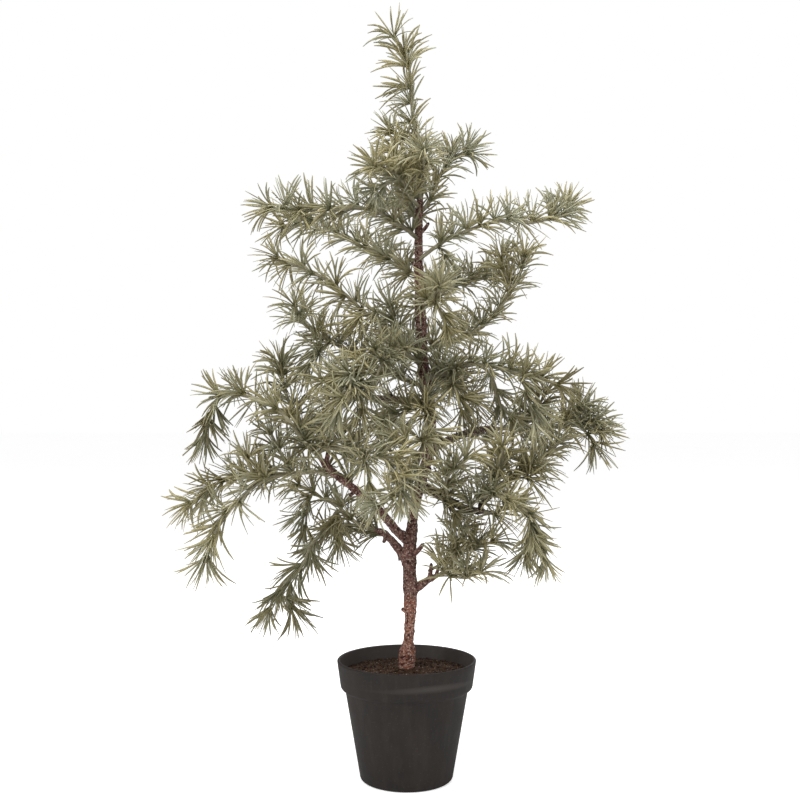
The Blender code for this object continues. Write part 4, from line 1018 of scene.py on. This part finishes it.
def make_trunk(bark, dark):
    distances = spaced(0.0, TRUNK.length, BARK_STEP)
    turns = TRUNK.frames(distances)
    rings = [sized(turn, trunk_radius(distance)) for turn, distance in zip(turns, distances)]
    bm = bmesh.new()
    loops = tube(bm, rings, TRUNK_SIDES)
    stems = [STEMS[bough.twigs[0].name] for bough in BOUGHS if bough.twigs[0].root > THICK_ROOT]
    roots = [stem.path.at(trunk_face(stem)) for stem in stems]
    for distance, loop in zip(distances, loops):
        push_out(loop, TRUNK.at(distance), lambda spot: crust(spot) + swelling(spot, roots))
    add_stubs(bm, "base")
    piece = finish_mesh(bm, "trunk_bark", bark, dark)
    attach(piece, "base")
    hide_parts("trunk_bark_lower", "trunk_bark_middle", "trunk_bark_upper")


def make_bark(bough, bark, dark):
    """A bough's bark, from inside the trunk or its stock to a ragged end round the spray that follows."""
    for twig in bough.twigs:
        if not is_bark(twig):
            continue
        stem, on_trunk = STEMS[twig.name], twig.stock == "trunk"
        distances = spaced(0.0 if on_trunk else -FORK_SUNK, stem.path.length, BARK_STEP)
        rings = []
        for turn, distance in zip(stem.path.frames(distances), distances):
            flare = 1.6 * MM * math.exp(-max(distance - 7 * MM, 0.0) / (6 * MM)) if on_trunk else 0.0
            fray = min(1.0, 0.72 + 0.28 * (stem.path.length - distance) / (5 * MM))
            rings.append(sized(turn, stem.radius(distance) * fray + flare))
        bm = bmesh.new()
        for distance, loop in zip(distances, tube(bm, rings, BARK_SIDES)):
            push_out(loop, stem.path.at(distance), lambda spot: 0.8 * crust(spot))
        if on_trunk:
            add_stubs(bm, bough.name)
        piece = finish_mesh(bm, twig.name + "_flock", bark, dark)
        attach(piece, bough.name)
        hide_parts(twig.name)


# ---- Needles ----

NEEDLE_LENGTH = 33.0 * MM
NEEDLE_HALF_WIDTH = 1.01 * MM
NEEDLE_HALF_THICKNESS = 0.50 * MM
NEEDLE_RINGS = 5
NEEDLES_PER_TUFT = (21, 27)
NEEDLE_LENGTHS = (0.76, 1.10)  # as shares of the length
BEND_OUT, BEND_IN, BENT_OUT_SHARE = (0.15, 1.0), (-0.5, -0.1), 0.75  # radians from a needle's root to its tip
NEEDLE_DROOP = 5.0  # per metre: how a needle that lies level sags, by the square of its reach
TUFT_KINDS = 16
OPEN_SPREAD, NARROW_SPREAD = (60, 84), (38, 58)  # degrees, between which each kind of tuft has its own
TUFT_SPACING = 14.0 * MM
UNEVEN = 0.18  # how far a tuft may be from its even place, as a share of the spacing
SPLAY = (24, 52)  # degrees that a tuft leans out from its twig
SIDE_TUFT_SCALES, END_TUFT_SCALES = (0.88, 1.08), (0.84, 1.0)
CROWDED, LEANING, ALL_ROUND = 0.62, 0.36, 1.0  # shares of a full turn that tufts take up about their side
RISE = 0.9  # how strongly a bough's lift turns its level tufts upwards
DROOPING = -0.45  # a twig that falls more steeply than this has narrow tufts that hang along it
TWIG_STEP, TWIG_SIDES = 3.0 * MM, 9
# How far a twig reaches back into its stock, and how long its root is bare, at an end and on a side.
END_SUNK, SIDE_SUNK, END_BARE, SIDE_BARE = 4.0 * MM, 2.0 * MM, 8.0 * MM, 6.0 * MM
SMALL_TWIG_LIFT, SMALL_TWIG_BARE, SMALL_TWIG_SUNK = 0.4, 6.0 * MM, 1.0 * MM
# Where drooping, these have their tufts on the under side.
TUFTS_BELOW = ("left_arch_spray", "right_tip_spray", "low_left_tip_spray")
# The side that a bough's tufts crowd to where it stands upright.
LEANS = {"leader": (-0.95, -0.3, 0.0), "left": (0.9, -0.4, 0.0), "right": (-0.95, -0.3, 0.0)}
ANY_LEAN = Vector((0.2, -1.0, 0.0))
# How much longer some twigs are bare at the root.
BARE_ROOTS = {"top_right_spray": 26 * MM, "crown_right_spray": 12 * MM, "low_right_upper_spray": 8 * MM}
# What sets some twigs apart from their bough. Their tones are partly painted shade, as a bough's are.
TONES_WITH_PAINTED_SHADE = {"left_arch_spray": 0.55, "left_front_spray": 0.15, "right_tip_spray": 0.30,
         "back_right_tip_spray": 0.50}
LIFTS = {"left_arch_spray": 0.05, "left_outer_spray": 0.0, "left_front_spray": 0.30, "right_tip_spray": 0.15,
         "upper_left_spray": -0.30, "upper_left_front_spray": -0.90, "low_right_under_twig": 1.3}
SPACINGS = {"leader_spray": 17 * MM, "low_left_tip_spray": 17 * MM, "low_left_top_spray": 19 * MM,
            "low_left_back_spray": 19 * MM, "upper_left_front_spray": 24 * MM, "crown_left_spray": 10 * MM}

# How a twig bears its tufts. Below is whether they hang under it where it droops, and bare its part without.
Habit = namedtuple("Habit", "tone lift lean spacing below bare")


def add_layers(bm):
    """Gives a bmesh the two values that the needles' material reads: a shade, and how far along its needle a
    point lies."""
    return bm.verts.layers.float.new(TONE), bm.verts.layers.float.new(REACH)


def needle(bm, start, length, bend, twist, tone):
    """One needle: a flat spike that curves away from its tuft's middle, with its own shade."""
    tones, reaches = bm.verts.layers.float[TONE], bm.verts.layers.float[REACH]
    rings = []
    for number in range(NEEDLE_RINGS + 1):
        share = number / NEEDLE_RINGS
        angle = bend * share
        arm = length / bend
        spot = Matrix.Translation((arm * (1 - math.cos(angle)), 0.0, arm * math.sin(angle)))
        taper = 0.62 + 0.38 * math.sin(math.pi * min(share * 1.35, 1.0) * 0.5)
        taper -= 0.62 * max(share - 0.72, 0.0) / 0.28
        turn = Matrix.Rotation(angle, 4, "Y") @ Matrix.Rotation(twist, 4, "Z")
        rings.append(start @ sized(spot @ turn, NEEDLE_HALF_WIDTH * taper, NEEDLE_HALF_THICKNESS * taper))
    for number, loop in enumerate(tube(bm, rings, 4)):
        for vert in loop:
            vert[tones] = tone
            vert[reaches] = number / NEEDLE_RINGS


def make_tuft(name, spread_range, draw):
    """A tuft about the Z axis, with its hub at the origin. Its outer needles lean out by up to its spread."""
    bm = bmesh.new()
    tones, reaches = add_layers(bm)
    count = draw.randint(*NEEDLES_PER_TUFT)
    spread = math.radians(draw.uniform(*spread_range))
    for index in range(count):
        around = GOLDEN_TURN * index + draw.uniform(-0.45, 0.45)
        lean = spread * math.sqrt((index + 0.6) / count) * draw.uniform(0.8, 1.12)
        length = NEEDLE_LENGTH * draw.uniform(*NEEDLE_LENGTHS)
        bend = draw.uniform(*BEND_OUT) if draw.random() < BENT_OUT_SHARE else draw.uniform(*BEND_IN)
        start = (Matrix.Rotation(around, 4, "Z") @ Matrix.Rotation(lean * 0.8, 4, "Y")
                 @ Matrix.Translation((0.0, 0.0, 0.8 * MM)))
        needle(bm, start, length, bend, draw.uniform(-0.9, 0.9), draw.gauss(0.0, 0.16))
    sheath = [sized(Matrix.Translation((0, 0, height * MM)), radius * MM)
              for height, radius in ((-1.2, 1.5), (0.4, 1.75), (1.8, 1.5), (3.2, 0.7))]
    for loop in tube(bm, sheath, 7):
        for vert in loop:
            vert[tones] = 0.25
            vert[reaches] = 0.0
    mesh = bpy.data.meshes.new(name)
    bm.to_mesh(mesh)
    bm.free()
    return mesh


def plant(bm, tuft, matrix, tone):
    """Adds a copy of a tuft, with its needles' shades moved by a tone. Needles that lie level sag."""
    copy = bmesh.new()
    copy.from_mesh(tuft)
    copy.transform(matrix)
    tones = copy.verts.layers.float[TONE]
    hub = matrix.translation
    for vert in copy.verts:
        vert[tones] += tone
        vert.co.z -= NEEDLE_DROOP * (vert.co - hub).xy.length_squared
    carried = bpy.data.meshes.new("carried")
    copy.to_mesh(carried)
    copy.free()
    bm.from_mesh(carried)
    bpy.data.meshes.remove(carried)


def tuft_side(along, habit):
    """The side of a twig that its tufts crowd to, and how far round it they go, as a share of a full turn.
    That is the upper side of a level twig, the under side of some drooping ones, and the bough's own side, if
    it has one, of an upright one."""
    side = square_to(along, UP)
    if side.length > 0.35:
        return side.normalized() * (-1.0 if habit.below and along.z < DROOPING else 1.0), CROWDED
    if habit.lean:
        return square_to(along, Vector(habit.lean)).normalized(), LEANING
    return square_to(along, ANY_LEAN).normalized(), ALL_ROUND


def make_spray(name, path, radius, habit, tufts, finishes, sunk, draw):
    """A moulded twig with its tufts. On a level twig they reach upwards, and on a hanging one along it."""
    bm = bmesh.new()
    add_layers(bm)
    room = path.length - habit.bare
    hubs = max(1, round(room / habit.spacing))
    places = [
        habit.bare + habit.spacing * draw.uniform(-UNEVEN, UNEVEN) + room * number / hubs
        for number in range(hubs)
    ]
    distances = spaced(sunk, path.length, TWIG_STEP, 3)
    rings = []
    for ring_frame, distance in zip(path.frames(distances), distances):
        knuckle = max((math.exp(-((distance - spot) / (2.2 * MM)) ** 2) for spot in places), default=0.0)
        rings.append(sized(ring_frame, radius(distance) * (0.92 + 0.22 * knuckle)))
    for distance, loop in zip(distances, tube(bm, rings, TWIG_SIDES)):
        push_out(loop, path.at(distance), lambda spot: 0.22 * MM * noise.noise(spot * 420.0))
    for face in bm.faces:
        face.material_index = 1
    turn = draw.uniform(0, math.tau)
    for spot in places:
        turn += GOLDEN_TURN
        along = path.direction(spot)
        side, share = tuft_side(along, habit)
        out = Matrix.Rotation(math.remainder(turn, math.tau) * share, 3, along) @ side
        forward = math.radians(draw.uniform(*SPLAY))
        axis = (out * math.sin(forward) + along * math.cos(forward) + rise(along, habit)).normalized()
        hub = path.at(spot) + out * radius(spot) * 0.6
        plant_along(bm, tufts, hub, axis, draw.uniform(*SIDE_TUFT_SCALES), habit, draw)
    along = path.direction(path.length)
    axis = (along + 0.6 * rise(along, habit)).normalized()
    plant_along(bm, tufts, path.at(path.length), axis, draw.uniform(*END_TUFT_SCALES), habit, draw)
    return finish_mesh(bm, name, *finishes)


def rise(along, habit):
    """What turns a tuft's direction upwards: most on a rising twig, nothing on a steeply drooping one."""
    return UP * RISE * habit.lift * max(0.0, 1.0 + 1.2 * along.z)


def plant_along(bm, tufts, spot, axis, scale, habit, draw):
    tuft = draw.choice(tufts[axis.z < DROOPING])
    turn = axis.to_track_quat("Z", "X").to_matrix().to_4x4()
    spun = turn @ Matrix.Rotation(draw.uniform(0, math.tau), 4, "Z")
    matrix = Matrix.Translation(spot) @ spun @ Matrix.Scale(scale, 4)
    plant(bm, tuft, matrix, habit.tone + draw.gauss(0, 0.14))


def make_sprays(finishes):
    draw = random.Random(NEEDLE_SEED)
    tufts = [
        [make_tuft(f"{name}_tuft_{number}", spread, draw) for number in range(TUFT_KINDS)]
        for name, spread in (("open", OPEN_SPREAD), ("narrow", NARROW_SPREAD))
    ]
    for bough in BOUGHS:
        for twig in bough.twigs:
            if is_bark(twig):
                continue
            stem = STEMS[twig.name]
            on_end = twig.where == "end"
            sunk = 0.0 if twig.stock == "trunk" else -(END_SUNK if on_end else SIDE_SUNK)
            bare = (END_BARE if on_end else SIDE_BARE) + BARE_ROOTS.get(twig.name, 0.0)
            if twig.stock == "trunk":
                bare += trunk_face(stem)
            habit = Habit(
                TONES_WITH_PAINTED_SHADE.get(twig.name, bough.tone), LIFTS.get(twig.name, bough.lift), LEANS.get(bough.name),
                SPACINGS.get(twig.name, TUFT_SPACING), twig.name in TUFTS_BELOW, bare,
            )
            piece = make_spray(
                twig.name + "_tufts", stem.path, stem.radius, habit, tufts, finishes, sunk, draw
            )
            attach(piece, bough.name)
            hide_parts(twig.name)
    for name, body, tone, root, points in SMALL_TWIGS:
        path = Path(route(points))
        habit = Habit(tone, LIFTS.get(name, SMALL_TWIG_LIFT), None, TUFT_SPACING, False, SMALL_TWIG_BARE)
        piece = make_spray(
            name, path, lambda distance, r=root: r * MM, habit, tufts, finishes, -SMALL_TWIG_SUNK, draw
        )
        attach(piece, body)
    for tuft in tufts[0] + tufts[1]:
        bpy.data.meshes.remove(tuft)


# ---- Everything together ----


def repaint_hidden_nodes():
    """The rod, the wires and the cement keep their own solids, with real finishes."""
    cement, steel = cement_material(), steel_material()
    for name, node in frame["nodes"].items():
        if name in ("ballast", "trunk_rod") or name.endswith("_wire"):
            node.data.materials.clear()
            node.data.materials.append(cement if name == "ballast" else steel)


def make_floor():
    bm = bmesh.new()
    bmesh.ops.create_grid(bm, x_segments=1, y_segments=1, size=FLOOR_SIZE / 2)
    finish_mesh(bm, "studio_floor", floor_material())


make_camera()
make_lights()
make_sky()
make_floor()
red_bark, shaded_grey_bark = bark_material("flocked_bark", RED_BARK), bark_material("weathered_bark", GREY_BARK_WITH_SHADE)
dark_bud = stub_tip_material()
make_pot(pot_material())
make_soil(
    soil_material("dark_soil", (0.060, 0.030, 0.017), (0.096, 0.050, 0.028), 0.55),
    soil_material("soil_crumb", (0.058, 0.030, 0.018), (0.105, 0.060, 0.037), 0.35),
    soil_material("pale_grain", (0.30, 0.23, 0.17), (0.42, 0.35, 0.28), 0.2),
)
make_trunk(red_bark, dark_bud)
for bough in BOUGHS:
    make_bark(bough, red_bark if bough.name in RED_BOUGHS else shaded_grey_bark, dark_bud)
make_sprays((needle_material(), twig_material()))
repaint_hidden_nodes()

bpy.context.scene.view_settings.view_transform = "Standard"
